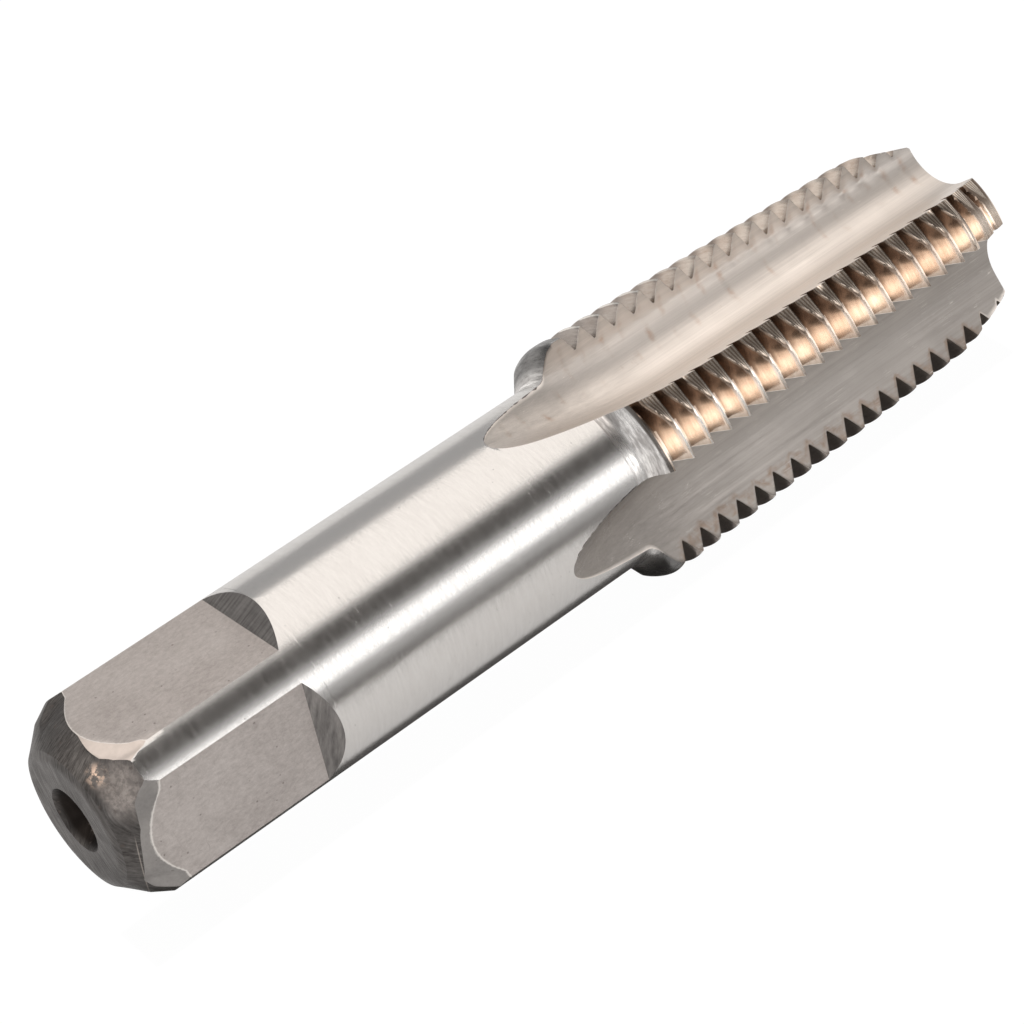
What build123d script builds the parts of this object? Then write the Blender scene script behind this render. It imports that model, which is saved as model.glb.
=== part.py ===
from build123d import *
import os
from math import atan, cos, pi, radians, sin, sqrt, tan

# Four-flute taper pipe tap, one solid.
# +X runs along the tap from the drive square to the cutting tip, +Z is up.
# It lies on its side as it would come to rest: one flute faces straight down and the
# tap stands on the two lands beside it. All sizes in mm.

# overall
overall_length = 61.3          # drive end face to tip face
shank_r = 5.5                  # round shank, 11 mm across

# drive square
square_half = 4.5              # 9 mm across the flats
square_length = 11.4           # end face to the foot of the shoulder
shoulder_rise = 45.0           # slope of the milled shoulder, degrees
flat_turn = -8.0               # flats are turned this far from the flutes, degrees
end_face_r = 3.45              # flat end face, inside its rounded rim
end_rim_top_x = 0.14           # the worn rim turns over here
end_rim_top_r = 3.87
end_rim_x = 1.2                # where the rim meets the turned chamfer
end_rim_r = 4.45
end_chamfer_x = 2.2            # the turned chamfer meets the full shank here
flat_bevel_x = 1.45            # at its middle, each flat ends in a bevel here
flat_bevel_slope = 20.0        # the bevel's drop towards the end, degrees
flat_bevel_sweep = 27.0        # it sweeps back towards the ridges by this much, degrees
centre_hole_r = 0.9            # pilot of the centre hole in the drive end
centre_hole_mouth_r = 1.8
centre_hole_depth = 3.4
centre_mouth_angle = 60.0
drill_point_angle = 118.0

# thread: 18 turns to the inch on a 1 in 16 taper
thread_pitch = 25.4 / 18
thread_taper = 1 / 32          # change of radius along the axis
thread_crest_r = 7.07          # crest radius at thread_start_x
thread_start_x = 34.3          # end of the plain collar
thread_depth = 1.03
thread_angle = 60.0
thread_crest_flat = 0.12
first_groove_x = 34.70         # the groove begins here, in the top flute
groove_clear = 0.09            # the cutting vee stands this far above the crest
groove_reach = 40.0            # it runs this far each side of a land's middle, degrees

# collar between shank and thread
collar_foot_x = 33.25
collar_slope = 56.0            # degrees from the axis
collar_top_round = 1.1

# chamfered lead
lead_start_x = 57.6
tip_r = 5.22
tip_edge = 0.15
tip_hole_r = 0.7               # pilot of the centre hole in the tip
tip_hole_mouth_r = 1.5
tip_hole_depth = 3.0

# flutes
flute_count = 4
web_r = 3.25                   # core radius under the flutes
flute_bottom_radius = 2.6
face_hook = 9.0                # the cutting face leans forward by this much, degrees
face_edge_angle = 25.5         # cutting edge from the middle of the cutter, degrees
heel_lean = 51.8               # slope of the heel side, degrees from the cutter's middle
flute_ref_r = 6.9              # the face angle is measured on this radius
flute_tilt = -4.2              # cutter's middle from the flute's opening, degrees
cutter_r = 33.0                # radius of the milling cutter, seen in the run-out
flute_full_x = 39.55           # full depth from here to the tip
run_out_turn = 32.0            # the cutter's arc is followed this far, degrees
cut_past = 1.6                 # cutting shapes stand this far outside the metal

x_end = -overall_length / 2


def crest_radius(x):
    return thread_crest_r - (x - thread_start_x) * thread_taper


def side_plane(angle):
    """Plane through the tap axis: local x along the tap, local y outward at this angle."""
    a = radians(angle)
    return Plane(origin=(x_end, 0, 0), x_dir=(1, 0, 0), z_dir=(0, sin(a), -cos(a)))


def cross_plane(x, angle):
    """Plane across the tap at x: local x outward at this angle, local y further round."""
    a = radians(angle)
    return Plane(origin=(x_end + x, 0, 0), x_dir=(0, cos(a), sin(a)), z_dir=(1, 0, 0))


tap_axis = Axis((x_end, 0, 0), (1, 0, 0))

# thread groove: a 60 degree vee wound along the taper
# The lands are narrow, so the vee is cut through each land in turn: a piece of ring
# lying at the thread's own lead angle, its ends out in the flutes on either side.
half_vee = tan(radians(thread_angle / 2))
groove_half_top = (thread_pitch - thread_crest_flat) / 2 + groove_clear * half_vee
groove_half_root = (thread_pitch - thread_crest_flat) / 2 - thread_depth * half_vee
reach = radians(groove_reach)
groove_pieces = []
for k in range(flute_count):
    land_angle = radians(90 + 360 / flute_count * (k + 0.5))
    land_x = first_groove_x + thread_pitch * (k + 0.5) / flute_count
    outward = Vector(0, cos(land_angle), sin(land_angle))
    for n in range(int((overall_length + thread_pitch / 2 - land_x) / thread_pitch) + 1):
        x = land_x + n * thread_pitch
        r = crest_radius(x)
        lead = atan(thread_pitch / (2 * pi * (r - thread_depth / 2)))
        ring_axis = Vector(cos(lead), sin(land_angle) * sin(lead), -cos(land_angle) * sin(lead))
        ring_centre = Vector(x_end + x, 0, 0)
        ring_start = outward * cos(reach) - ring_axis.cross(outward) * sin(reach)
        ring_plane = Plane(origin=ring_centre, x_dir=ring_start, z_dir=ring_start.cross(ring_axis))
        with BuildPart() as groove:
            with BuildSketch(ring_plane):
                with BuildLine():
                    Polyline(
                        (r - thread_depth, -groove_half_root),
                        (r + groove_clear, -groove_half_top),
                        (r + groove_clear, groove_half_top),
                        (r - thread_depth, groove_half_root),
                        close=True,
                    )
                make_face()
            revolve(axis=Axis(ring_centre, ring_axis), revolution_arc=2 * groove_reach)
        groove_pieces.append(groove.part)

# the cutter's section, shared by the four flutes
# local x is outward along the middle of the cutter, the cutting face is on the -y side
face_slope = tan(radians(face_edge_angle - face_hook))
heel_slope = tan(radians(heel_lean))
face_long = sqrt(1 + face_slope**2)
heel_long = sqrt(1 + heel_slope**2)
face_edge_u = flute_ref_r * cos(radians(face_edge_angle))
face_edge_w = flute_ref_r * sin(radians(face_edge_angle))
bottom_u = web_r + flute_bottom_radius
bottom_w = face_edge_w + face_slope * (bottom_u - face_edge_u) - flute_bottom_radius * face_long
heel_const = bottom_w + heel_slope * bottom_u - flute_bottom_radius * heel_long
face_foot_u = bottom_u - flute_bottom_radius * face_slope / face_long
face_foot_w = bottom_w + flute_bottom_radius / face_long
heel_foot_u = bottom_u - flute_bottom_radius * heel_slope / heel_long
heel_foot_w = bottom_w - flute_bottom_radius / heel_long
flute_reach = thread_crest_r + cut_past
face_top_w = face_edge_w + face_slope * (flute_reach - face_edge_u)
heel_top_w = heel_const - heel_slope * flute_reach

# the collar's slope runs up to the thread's crest line
collar_rise = crest_radius(collar_foot_x) - shank_r
collar_top_x = collar_foot_x + collar_rise / (tan(radians(collar_slope)) + thread_taper)
square_cut_half = sqrt(shank_r**2 - square_half**2) + cut_past

with BuildPart() as tap_on_axis:
    # turned blank: end face, worn rim, chamfer, shank, collar, taper and lead
    with BuildSketch(side_plane(90)) as blank:
        with BuildLine():
            Polyline(
                (0, 0),
                (0, end_face_r),
                (end_rim_top_x, end_rim_top_r),
                (end_rim_x, end_rim_r),
                (end_chamfer_x, shank_r),
                (collar_foot_x, shank_r),
                (collar_top_x, crest_radius(collar_top_x)),
                (lead_start_x, crest_radius(lead_start_x)),
                (overall_length - tip_edge, tip_r),
                (overall_length, tip_r - tip_edge),
                (overall_length, 0),
                close=True,
            )
        make_face()
        collar_corner = (x_end + collar_top_x, 0, crest_radius(collar_top_x))
        fillet(blank.vertices().sort_by_distance(collar_corner)[0], collar_top_round)
    revolve(axis=tap_axis)

    # four milled flats, each with a sloping shoulder
    for k in range(4):
        with BuildSketch(side_plane(90 + flat_turn + 90 * k)):
            with BuildLine():
                Polyline(
                    (-cut_past, square_half),
                    (square_length, square_half),
                    (square_length + cut_past / tan(radians(shoulder_rise)), square_half + cut_past),
                    (-cut_past, square_half + cut_past),
                    close=True,
                )
            make_face()
        extrude(amount=square_cut_half, both=True, mode=Mode.SUBTRACT)

    # each flat's end is broken by two hand-ground bevels that widen towards the ridges
    bevel_fall = tan(radians(flat_bevel_slope))
    bevel_sweep = tan(radians(flat_bevel_sweep))
    for k in range(4):
        a = radians(90 + flat_turn + 90 * k)
        outward = Vector(0, cos(a), sin(a))
        across = Vector(0, -sin(a), cos(a))
        for side in (-1, 1):
            bevel_normal = outward + across * side * bevel_fall * bevel_sweep - Vector(bevel_fall, 0, 0)
            bevel_plane = Plane(
                origin=Vector(x_end + flat_bevel_x, 0, 0) + outward * square_half,
                x_dir=across * side - outward * bevel_fall * bevel_sweep,
                z_dir=bevel_normal,
            )
            with BuildSketch(bevel_plane):
                with Locations((square_half / 2, 0)):
                    Rectangle(square_half + cut_past, 2 * square_half)
            extrude(amount=cut_past, mode=Mode.SUBTRACT)

    # centre holes in both ends, a 60 degree mouth over a small pilot
    mouth_slope = tan(radians(centre_mouth_angle / 2))
    drill_slope = tan(radians(drill_point_angle / 2))
    for face_x, inward, mouth_r, pilot_r, depth in (
        (0, 1, centre_hole_mouth_r, centre_hole_r, centre_hole_depth),
        (overall_length, -1, tip_hole_mouth_r, tip_hole_r, tip_hole_depth),
    ):
        with BuildSketch(side_plane(90)):
            with BuildLine():
                Polyline(
                    (face_x - inward * cut_past, 0),
                    (face_x - inward * cut_past, mouth_r + cut_past * mouth_slope),
                    (face_x + inward * (mouth_r - pilot_r) / mouth_slope, pilot_r),
                    (face_x + inward * depth, pilot_r),
                    (face_x + inward * (depth + pilot_r / drill_slope), 0),
                    close=True,
                )
            make_face()
        revolve(axis=tap_axis, mode=Mode.SUBTRACT)

    # flutes: full depth along the thread, then the cutter's own arc out through the shank
    for k in range(flute_count):
        flute_angle = 90 + flute_tilt + 360 / flute_count * k
        flute_plane = cross_plane(flute_full_x, flute_angle)
        with BuildSketch(flute_plane) as flute_section:
            with BuildLine():
                Line((flute_reach, -heel_top_w), (heel_foot_u, -heel_foot_w))
                ThreePointArc(
                    (heel_foot_u, -heel_foot_w),
                    (web_r, -bottom_w),
                    (face_foot_u, -face_foot_w),
                )
                Line((face_foot_u, -face_foot_w), (flute_reach, -face_top_w))
                Line((flute_reach, -face_top_w), (flute_reach, -heel_top_w))
            make_face()
        extrude(amount=overall_length - flute_full_x + cut_past, mode=Mode.SUBTRACT)
        cutter_centre = flute_plane.origin + flute_plane.x_dir * (web_r + cutter_r)
        add(flute_section.sketch)
        revolve(
            axis=Axis(cutter_centre, flute_plane.y_dir),
            revolution_arc=-run_out_turn,
            mode=Mode.SUBTRACT,
        )

    # the thread groove, cut through all four lands
    add(groove_pieces, mode=Mode.SUBTRACT)

# laid down: the two lands beside the bottom flute touch the plane it rests on
rest_height = -tap_on_axis.part.bounding_box().min.Z

with BuildPart() as thread_tap:
    with Locations((0, 0, rest_height)):
        add(tap_on_axis.part)

thread_tap.part.label = "thread_tap"
os.makedirs("parts", exist_ok=True)
export_step(thread_tap.part, "parts/thread_tap.step")
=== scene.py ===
import logging
from dataclasses import dataclass, field
from enum import Enum
from math import atan2, cos, degrees, hypot, pi, radians, sin, sqrt, tan
from typing import Optional, Union

import bmesh
import bpy
import numpy as np
from mathutils import Matrix, Vector


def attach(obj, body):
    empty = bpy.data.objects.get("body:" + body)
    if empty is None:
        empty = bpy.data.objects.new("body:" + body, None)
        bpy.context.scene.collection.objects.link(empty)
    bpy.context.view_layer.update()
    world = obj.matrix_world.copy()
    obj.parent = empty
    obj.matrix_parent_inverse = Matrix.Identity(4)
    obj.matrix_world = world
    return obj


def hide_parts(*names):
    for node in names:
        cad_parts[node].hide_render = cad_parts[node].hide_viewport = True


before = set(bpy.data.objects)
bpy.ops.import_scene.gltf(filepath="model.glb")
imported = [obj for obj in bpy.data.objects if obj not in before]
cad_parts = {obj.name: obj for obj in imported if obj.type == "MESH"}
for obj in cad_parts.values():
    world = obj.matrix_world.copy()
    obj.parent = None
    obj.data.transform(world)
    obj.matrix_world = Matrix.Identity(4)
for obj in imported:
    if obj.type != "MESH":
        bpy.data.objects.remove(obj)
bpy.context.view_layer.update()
MM = 0.001
LENGTH = 61.3
SHANK_R = 5.5
REST_HEIGHT = 6.2773
# points closer than this are one point, and shorter edges hold no face, in metres
MERGE_DISTANCE = 2e-7
EMPTY_EDGE = 1e-8
# edges sharper than this stay sharp in the shading, in degrees
SHARP_ANGLE = 28
Socket = bpy.types.NodeSocket
Value = Union[bpy.types.NodeSocket, float, tuple]
log = logging.getLogger("thread_tap")
logging.basicConfig(level=logging.INFO, format="%(name)s: %(message)s")


class Finish(Enum):
    """Which of the tap's finishes a face carries."""

    GROUND_SHANK = 0
    MILLED_FLAT = 1
    MILLED_SHOULDER = 2
    TURNED_END = 3
    HAND_BEVEL = 4
    GROUND_FLUTE = 5
    THREAD_LAND = 6
    TIP_FACE = 7
    TURNED_COLLAR = 8
    WORN_SHADED_BEVEL = 9


# ---------------------------------------------------------------- node helpers


class Wiring:
    """Adds and joins nodes in one node tree, in a row from left to right."""

    def __init__(self, tree: bpy.types.NodeTree) -> None:
        """Keeps the tree.

        Args:
            tree: The node tree that nodes are added to.
        """
        self.tree = tree
        self.count = 0

    def node(self, kind: str, **settings: object) -> bpy.types.Node:
        """Adds one node.

        Args:
            kind: Blender's name for the node type.
            **settings: Properties set on the node.

        Returns:
            The new node.
        """
        made = self.tree.nodes.new(kind)
        self.count += 1
        made.location = (180 * (self.count % 12), -220 * (self.count // 12))
        for name, value in settings.items():
            setattr(made, name, value)
        return made

    def feed(self, node: bpy.types.Node, socket: Union[str, int], value: Value) -> None:
        """Sets an input from a number, a colour, a vector or another socket.

        Args:
            node: The node whose input is set.
            socket: The input's name or index.
            value: A constant, or an output socket to link from.
        """
        target = node.inputs[socket]
        if isinstance(value, bpy.types.NodeSocket):
            self.tree.links.new(value, target)
        else:
            target.default_value = value

    def math(self, operation: str, a: Value, b: Optional[Value] = None, c: Optional[Value] = None,
             clamp: bool = False) -> Socket:
        """Adds a Math node.

        Args:
            operation: The node's operation.
            a: First value or socket.
            b: Second value or socket.
            c: Third value or socket.
            clamp: Whether the result is kept between 0 and 1.

        Returns:
            The result socket.
        """
        made = self.node("ShaderNodeMath", operation=operation, use_clamp=clamp)
        for index, value in enumerate((a, b, c)):
            if value is not None:
                self.feed(made, index, value)
        return made.outputs[0]

    def vector(self, operation: str, a: Value, b: Optional[Value] = None,
               scale: Optional[Value] = None) -> Socket:
        """Adds a Vector Math node.

        Args:
            operation: The node's operation.
            a: First vector or socket.
            b: Second vector or socket.
            scale: The factor of a SCALE node.

        Returns:
            The result socket.
        """
        made = self.node("ShaderNodeVectorMath", operation=operation)
        self.feed(made, 0, a)
        if b is not None:
            self.feed(made, 1, b)
        if scale is not None:
            self.feed(made, "Scale", scale)
        return made.outputs["Value" if operation in ("LENGTH", "DOT_PRODUCT") else "Vector"]

    def ramp(self, value: Value, low: float, high: float, out_low: float = 0.0, out_high: float = 1.0,
             kind: str = "SMOOTHSTEP") -> Socket:
        """Adds a Map Range node that is held at both ends.

        Args:
            value: The value or socket that is mapped.
            low: Value that gives out_low.
            high: Value that gives out_high.
            out_low: Result at low.
            out_high: Result at high.
            kind: The node's interpolation.

        Returns:
            The result socket.
        """
        made = self.node("ShaderNodeMapRange", interpolation_type=kind, clamp=True)
        for index, item in enumerate((value, low, high, out_low, out_high)):
            self.feed(made, index, item)
        return made.outputs[0]

    def noise(self, where: Value, scale: float, detail: float = 2.0, rough: float = 0.5,
              warp: float = 0.0) -> Socket:
        """Adds a Noise Texture.

        Args:
            where: The coordinates.
            scale: How fine the noise is.
            detail: Number of finer layers.
            rough: Weight of the finer layers.
            warp: Distortion of the noise.

        Returns:
            The value socket, 0 to 1 about 0.5.
        """
        made = self.node("ShaderNodeTexNoise")
        settings = {"Vector": where, "Scale": scale, "Detail": detail, "Roughness": rough, "Distortion": warp}
        for name, value in settings.items():
            self.feed(made, name, value)
        return made.outputs[0]

    def times(self, a: Value, b: Value, clamp: bool = False) -> Socket:
        """Multiplies two values."""
        return self.math("MULTIPLY", a, b, clamp=clamp)

    def plus(self, a: Value, b: Value, clamp: bool = False) -> Socket:
        """Adds two values."""
        return self.math("ADD", a, b, clamp=clamp)

    def minus(self, a: Value, b: Value, clamp: bool = False) -> Socket:
        """Takes b from a."""
        return self.math("SUBTRACT", a, b, clamp=clamp)

    def attribute(self, name: str) -> Socket:
        """Returns the number that the mesh stores under a name."""
        return self.node("ShaderNodeAttribute", attribute_name=name).outputs["Fac"]

    def split(self, vector: Value) -> tuple:
        """Splits a vector.

        Args:
            vector: The vector or socket.

        Returns:
            The sockets of x, y and z.
        """
        made = self.node("ShaderNodeSeparateXYZ")
        self.feed(made, 0, vector)
        return tuple(made.outputs)

    def join(self, x: Value, y: Value, z: Value) -> Socket:
        """Joins three values.

        Args:
            x: First value or socket.
            y: Second value or socket.
            z: Third value or socket.

        Returns:
            The vector socket, which also serves as a colour.
        """
        made = self.node("ShaderNodeCombineXYZ")
        for axis, value in enumerate((x, y, z)):
            self.feed(made, axis, value)
        return made.outputs[0]

    def use(self, tree: bpy.types.NodeTree, **inputs: Value) -> bpy.types.Node:
        """Places a shared shader group.

        Args:
            tree: The group.
            **inputs: Values or sockets by input name.

        Returns:
            The group's node.
        """
        made = self.node("ShaderNodeGroup", node_tree=tree)
        for name, value in inputs.items():
            self.feed(made, name, value)
        return made

    def blend(self, factor: Value, a: Value, b: Value, kind: str = "MIX") -> Socket:
        """Adds a colour Mix node.

        Args:
            factor: Share of b.
            a: First colour or socket.
            b: Second colour or socket.
            kind: The node's blend type.

        Returns:
            The colour socket.
        """
        made = self.node("ShaderNodeMix", data_type="RGBA", blend_type=kind)
        self.feed(made, 0, factor)
        self.feed(made, 6, a)
        self.feed(made, 7, b)
        return made.outputs[2]


def new_group(name: str, kind: str, inputs: list, outputs: list) -> tuple:
    """Makes a node group with named sockets.

    Args:
        name: The group's name.
        kind: ShaderNodeTree or GeometryNodeTree.
        inputs: Tuples of name, socket type and default value.
        outputs: Tuples of name and socket type.

    Returns:
        The tree, its Wiring, the group input node and the group output node.
    """
    tree = bpy.data.node_groups.new(name, kind)
    for label, socket, default in inputs:
        made = tree.interface.new_socket(name=label, in_out="INPUT", socket_type=socket)
        if default is not None:
            made.default_value = default
    for label, socket in outputs:
        tree.interface.new_socket(name=label, in_out="OUTPUT", socket_type=socket)
    wiring = Wiring(tree)
    return tree, wiring, wiring.node("NodeGroupInput"), wiring.node("NodeGroupOutput")


# ---------------------------------------------------------------- the tap's form


@dataclass(frozen=True)
class Blank:
    """The turned blank, as a radius along the tap, in mm from the drive end."""

    length: float = LENGTH
    shank_r: float = SHANK_R
    face_r: float = 3.45
    rim_top: tuple = (0.14, 3.87)
    rim: tuple = (1.2, 4.45)
    chamfer_x: float = 2.2
    collar_foot: float = 33.25
    collar_slope: float = 56.0
    collar_round: float = 1.1
    foot_hollow: float = 0.8
    crest_r: float = 7.07
    crest_x: float = 34.3
    taper: float = 1 / 32
    lead_x: float = 57.6
    tip_r: float = 5.22
    tip_edge: float = 0.15

    def crest(self, x: np.ndarray) -> np.ndarray:
        """Returns the radius of the thread's crest line at x."""
        return self.crest_r - (x - self.crest_x) * self.taper

    def end_radius(self, x: np.ndarray, rim_x: float, rim_r: float) -> np.ndarray:
        """Finds the radius of the turned drive end, with its rim at a given point.

        Args:
            x: Place along the tap.
            rim_x: The rim's place along the tap.
            rim_r: The rim's radius.

        Returns:
            The radius.
        """
        return np.interp(x, [0.0, self.rim_top[0], rim_x, self.chamfer_x],
                         [self.face_r, self.rim_top[1], rim_r, self.shank_r])

    def collar_points(self) -> list:
        """Finds the collar's slope and the round at its top.

        Returns:
            Points (x, radius) from the foot to the end of the round.
        """
        rise = tan(radians(self.collar_slope))
        top_x = self.collar_foot + (self.crest(self.collar_foot) - self.shank_r) / (rise + self.taper)
        corner = np.array([top_x, self.crest(top_x)])
        up = np.array([cos(radians(self.collar_slope)), sin(radians(self.collar_slope))])
        on = np.array([1.0, -self.taper]) / hypot(1.0, self.taper)
        turn = np.arccos(np.clip(up @ on, -1, 1))
        reach = self.collar_round * tan(turn / 2)
        start = corner - up * reach
        centre = start + np.array([up[1], -up[0]]) * self.collar_round
        first = atan2(start[1] - centre[1], start[0] - centre[0])
        arc = [first - turn * t for t in np.linspace(0, 1, 13)]
        back = self.foot_hollow * tan(radians(self.collar_slope) / 2)
        hollow, foot = self.foot_hollow, self.collar_foot - back
        points = [(foot + hollow * sin(a), self.shank_r + hollow * (1 - cos(a)))
                  for a in np.radians(np.linspace(0, self.collar_slope, 13))]
        points += [tuple(centre + self.collar_round * np.array([cos(a), sin(a)])) for a in arc]
        return points

    def radius(self, x: np.ndarray) -> np.ndarray:
        """Finds the blank's radius, before flats, flutes and thread.

        Args:
            x: Place along the tap.

        Returns:
            The radius.
        """
        table = [(0.0, self.face_r), self.rim_top, self.rim, (self.chamfer_x, self.shank_r)]
        table += self.collar_points()
        table += [(self.lead_x, float(self.crest(self.lead_x))),
                  (self.length - self.tip_edge, self.tip_r), (self.length, self.tip_r - self.tip_edge)]
        xs, rs = zip(*table)
        return np.interp(x, xs, rs)


@dataclass(frozen=True)
class DriveSquare:
    """The milled square on the drive end, with its shoulders and hand-ground end bevels."""

    half: float = 4.5
    foot_x: float = 11.4
    turn: float = -8.0
    bevel_x: float = 1.5
    bevel_slope: float = 20.0
    bevel_curve: float = 0.17
    bevel_knee: float = 2.6
    knee_slope: float = 0.3
    widest: float = 0.9
    rim_reach: float = 0.3
    rim_width: float = 0.95
    less_worn: float = 0.3
    ground_turns: tuple = (8.0, 43.0)
    ground_slope: float = 1.6
    corner_span: tuple = (2.2, 3.16)
    corner_slope: float = 8.0
    full_ridge: float = 0.5
    ridge_turn: float = 135.0
    ridge_spread: float = 24.0

    def corner(self, shank_r: float) -> float:
        """Returns the angle from a flat's middle to its long edge, in degrees."""
        return degrees(np.arccos(self.half / shank_r))

    def bevel_radius(self, x: np.ndarray, off: np.ndarray, ground: np.ndarray) -> np.ndarray:
        """Finds the worn bevel's distance from the axis.

        Args:
            x: Place along the tap.
            off: Degrees from the nearest flat's middle.
            ground: Whether this corner was ground further by hand.

        Returns:
            The distance, which grows toward the shank.
        """
        d = np.radians(np.abs(off))
        wide = np.minimum(self.half * np.tan(np.minimum(d, self.widest)), sqrt(SHANK_R**2 - self.half**2))
        past = np.maximum(0.0, wide - self.bevel_knee)
        swept = self.bevel_curve * np.minimum(wide, self.bevel_knee) ** 2 + self.knee_slope * past
        swept = swept + np.where(ground, self.ground_slope * past, 0.0)
        corner = np.interp(wide, self.corner_span, (self.bevel_slope, self.corner_slope))
        slope = np.where(ground, corner, self.bevel_slope)
        return (self.half + np.tan(np.radians(slope)) * (x - self.bevel_x - swept)) / np.cos(d)

    def rim_point(self, rim: tuple, off: np.ndarray, turn: np.ndarray) -> tuple:
        """Finds the worn rim's edge, which runs up to the middle of two of the flats.

        Args:
            rim: The rim's x and radius away from the flats' middles.
            off: Degrees from the nearest flat's middle.
            turn: Degrees round from the top flat's middle, up to 180.

        Returns:
            The edge's x and radius.
        """
        away = self.half * np.tan(np.radians(np.abs(off))) / self.rim_width
        near = np.where((turn > 45) & (turn < 135), self.less_worn, 1.0) * np.exp(-(away**2))
        full = self.full_ridge * np.exp(-(((turn - self.ridge_turn) / self.ridge_spread) ** 2))
        return rim[0] + self.rim_reach * near, rim[1] + (self.half - rim[1]) * near + full

    def flat_radius(self, x: np.ndarray, off: np.ndarray) -> np.ndarray:
        """Returns the distance from the axis of flat and shoulder, off degrees from the flat's middle."""
        height = self.half + np.maximum(0.0, x - self.foot_x)
        return height / np.maximum(0.05, np.cos(np.radians(off)))


@dataclass(frozen=True)
class FluteCutter:
    """The form cutter that mills a flute: straight cutting face, round bottom, sloping heel."""

    web_r: float = 3.25
    bottom_r: float = 2.6
    hook: float = 9.0
    edge_angle: float = 25.5
    heel_lean: float = 51.8
    ref_r: float = 6.9
    tilt: float = -4.2
    cutter_r: float = 33.0
    full_x: float = 39.55
    reach: float = 8.7

    def section(self) -> tuple:
        """Traces the cutter's section from the cutting face round to the heel.

        Returns:
            Arrays of u (outward), w (further round) and length along the section.
        """
        face, heel = tan(radians(self.edge_angle - self.hook)), tan(radians(self.heel_lean))
        face_long, heel_long = hypot(1, face), hypot(1, heel)
        edge = radians(self.edge_angle)
        edge_u, edge_w = self.ref_r * cos(edge), self.ref_r * sin(edge)
        mid_u = self.web_r + self.bottom_r
        mid_w = edge_w + face * (mid_u - edge_u) - self.bottom_r * face_long
        start = atan2(1 / face_long, -face / face_long)
        stop = atan2(-1 / heel_long, -heel / heel_long) + 2 * pi
        arc = np.linspace(start, stop, 120)
        arc_u, arc_w = mid_u + self.bottom_r * np.cos(arc), mid_w + self.bottom_r * np.sin(arc)
        line_u = np.linspace(self.reach, arc_u[0], 60)[:-1]
        line_w = edge_w + face * (line_u - edge_u)
        out_u = np.linspace(arc_u[-1], self.reach, 80)[1:]
        out_w = arc_w[-1] - heel * (out_u - arc_u[-1])
        u = np.concatenate([line_u, arc_u, out_u])
        w = -np.concatenate([line_w, arc_w, out_w])
        s = np.concatenate([[0.0], np.cumsum(np.hypot(np.diff(u), np.diff(w)))])
        return u, w, s

    def lift(self, u: np.ndarray, x: np.ndarray) -> np.ndarray:
        """Follows the cutter's own arc, which lifts the section out of the shank.

        Args:
            u: The section's distances outward.
            x: Place along the tap.

        Returns:
            The distances outward at x.
        """
        span = np.maximum(0.0, self.full_x - x)
        from_centre = self.web_r + self.cutter_r - u
        return self.web_r + self.cutter_r - np.sqrt(np.maximum(0.01, from_centre**2 - span**2))


@dataclass(frozen=True)
class ThreadForm:
    """The 60 degree thread, wound right-handed along the taper, with a wedge at each tooth's heel."""

    pitch: float = 25.4 / 18
    depth: float = 1.03
    angle: float = 60.0
    crest_flat: float = 0.12
    crest_half: float = 0.04
    first_x: float = 34.70
    rows_per_quarter: tuple = (0.0555, 0.136, 0.2168, 0.2973)
    heel_width: float = 0.52
    heel_slope: float = 0.36
    heel_root: tuple = (0.33, 0.28)
    heel_share: float = 0.52
    nick: float = 0.08
    nick_grain: float = 2600.0
    seed: float = 4.0

    def sizes(self) -> dict:
        """Lists the winding tree's inputs.

        Returns:
            The values by name, in metres, radians and shares of the pitch.
        """
        return {
            "Pitch": self.pitch * MM,
            "First Groove": self.first_x * MM,
            "Groove Depth": self.depth * MM,
            "Crest Flat": self.crest_flat * MM,
            "Flank Angle": radians(self.angle / 2),
            "Heel Width": self.heel_width,
            "Heel Slope": self.heel_slope,
            "Nick Size": self.nick * MM,
            "Nick Grain": self.nick_grain,
            "Seed": self.seed,
        }


@dataclass(frozen=True)
class CentreHole:
    """A centre hole: a 60 degree mouth over a small pilot."""

    mouth_r: float
    pilot_r: float
    depth: float

    def rings(self, outer_r: float, steps: int) -> list:
        """Lists the rings from the end face into the hole.

        Args:
            outer_r: Radius where the end face starts.
            steps: Rings on the end face.

        Returns:
            Tuples of depth below the end face and radius, the last one the pole.
        """
        cone = (self.mouth_r - self.pilot_r) / tan(radians(30))
        rings = [(0.0, outer_r + (self.mouth_r - outer_r) * t) for t in np.linspace(0, 1, steps + 1)[1:]]
        narrow = self.pilot_r - self.mouth_r
        rings += [(cone * t, self.mouth_r + narrow * t) for t in np.linspace(0, 1, 7)[1:]]
        rings += [(cone + (self.depth - cone) * t, self.pilot_r) for t in np.linspace(0, 1, 6)[1:]]
        rings += [(self.depth + self.pilot_r * 0.6 * t, self.pilot_r * (1 - t)) for t in (0.5, 1.0)]
        return rings


# painted shade: how bright the ground steel is painted in each flute, lit or shaded; and how golden the
# thread is on each land, a warm tint with a painted highlight
FLUTE_SHADE_TONES = (1.0, 0.47, 0.55, 0.6)
LAND_GOLD_AND_HIGHLIGHT = (1.0, 0.3, 0.55, 0.1)
# how far each land's crests are widened by wear at the heel
LAND_RELIEF = (1.0, 0.2, 0.35, 0.35)
# tones as places and factors: painted shade and painted reflection round the top flute's section, painted
# shade along the flutes, and darker along the lands toward the tip
TOP_FLUTE_SHADE_AND_REFLECTION = ((0, 0.12, 0.27, 0.37, 0.46, 0.55, 0.8, 1.0),
                  (0.62, 0.72, 0.72, 0.86, 0.88, 0.94, 1.0, 1.05))
FLUTE_SHADE_ALONG = ((33.0, 39.0, 50.0, 60.0), (0.80, 1.0, 1.0, 0.88))
TIP_TONE = ((58.4, 60.6), (1.0, 0.35))
# the far land's warm tint and painted highlight grow toward the tip
FAR_LAND_GOLD_AND_HIGHLIGHT = ((37.0, 47.0), (0.1, 0.6))
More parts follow.
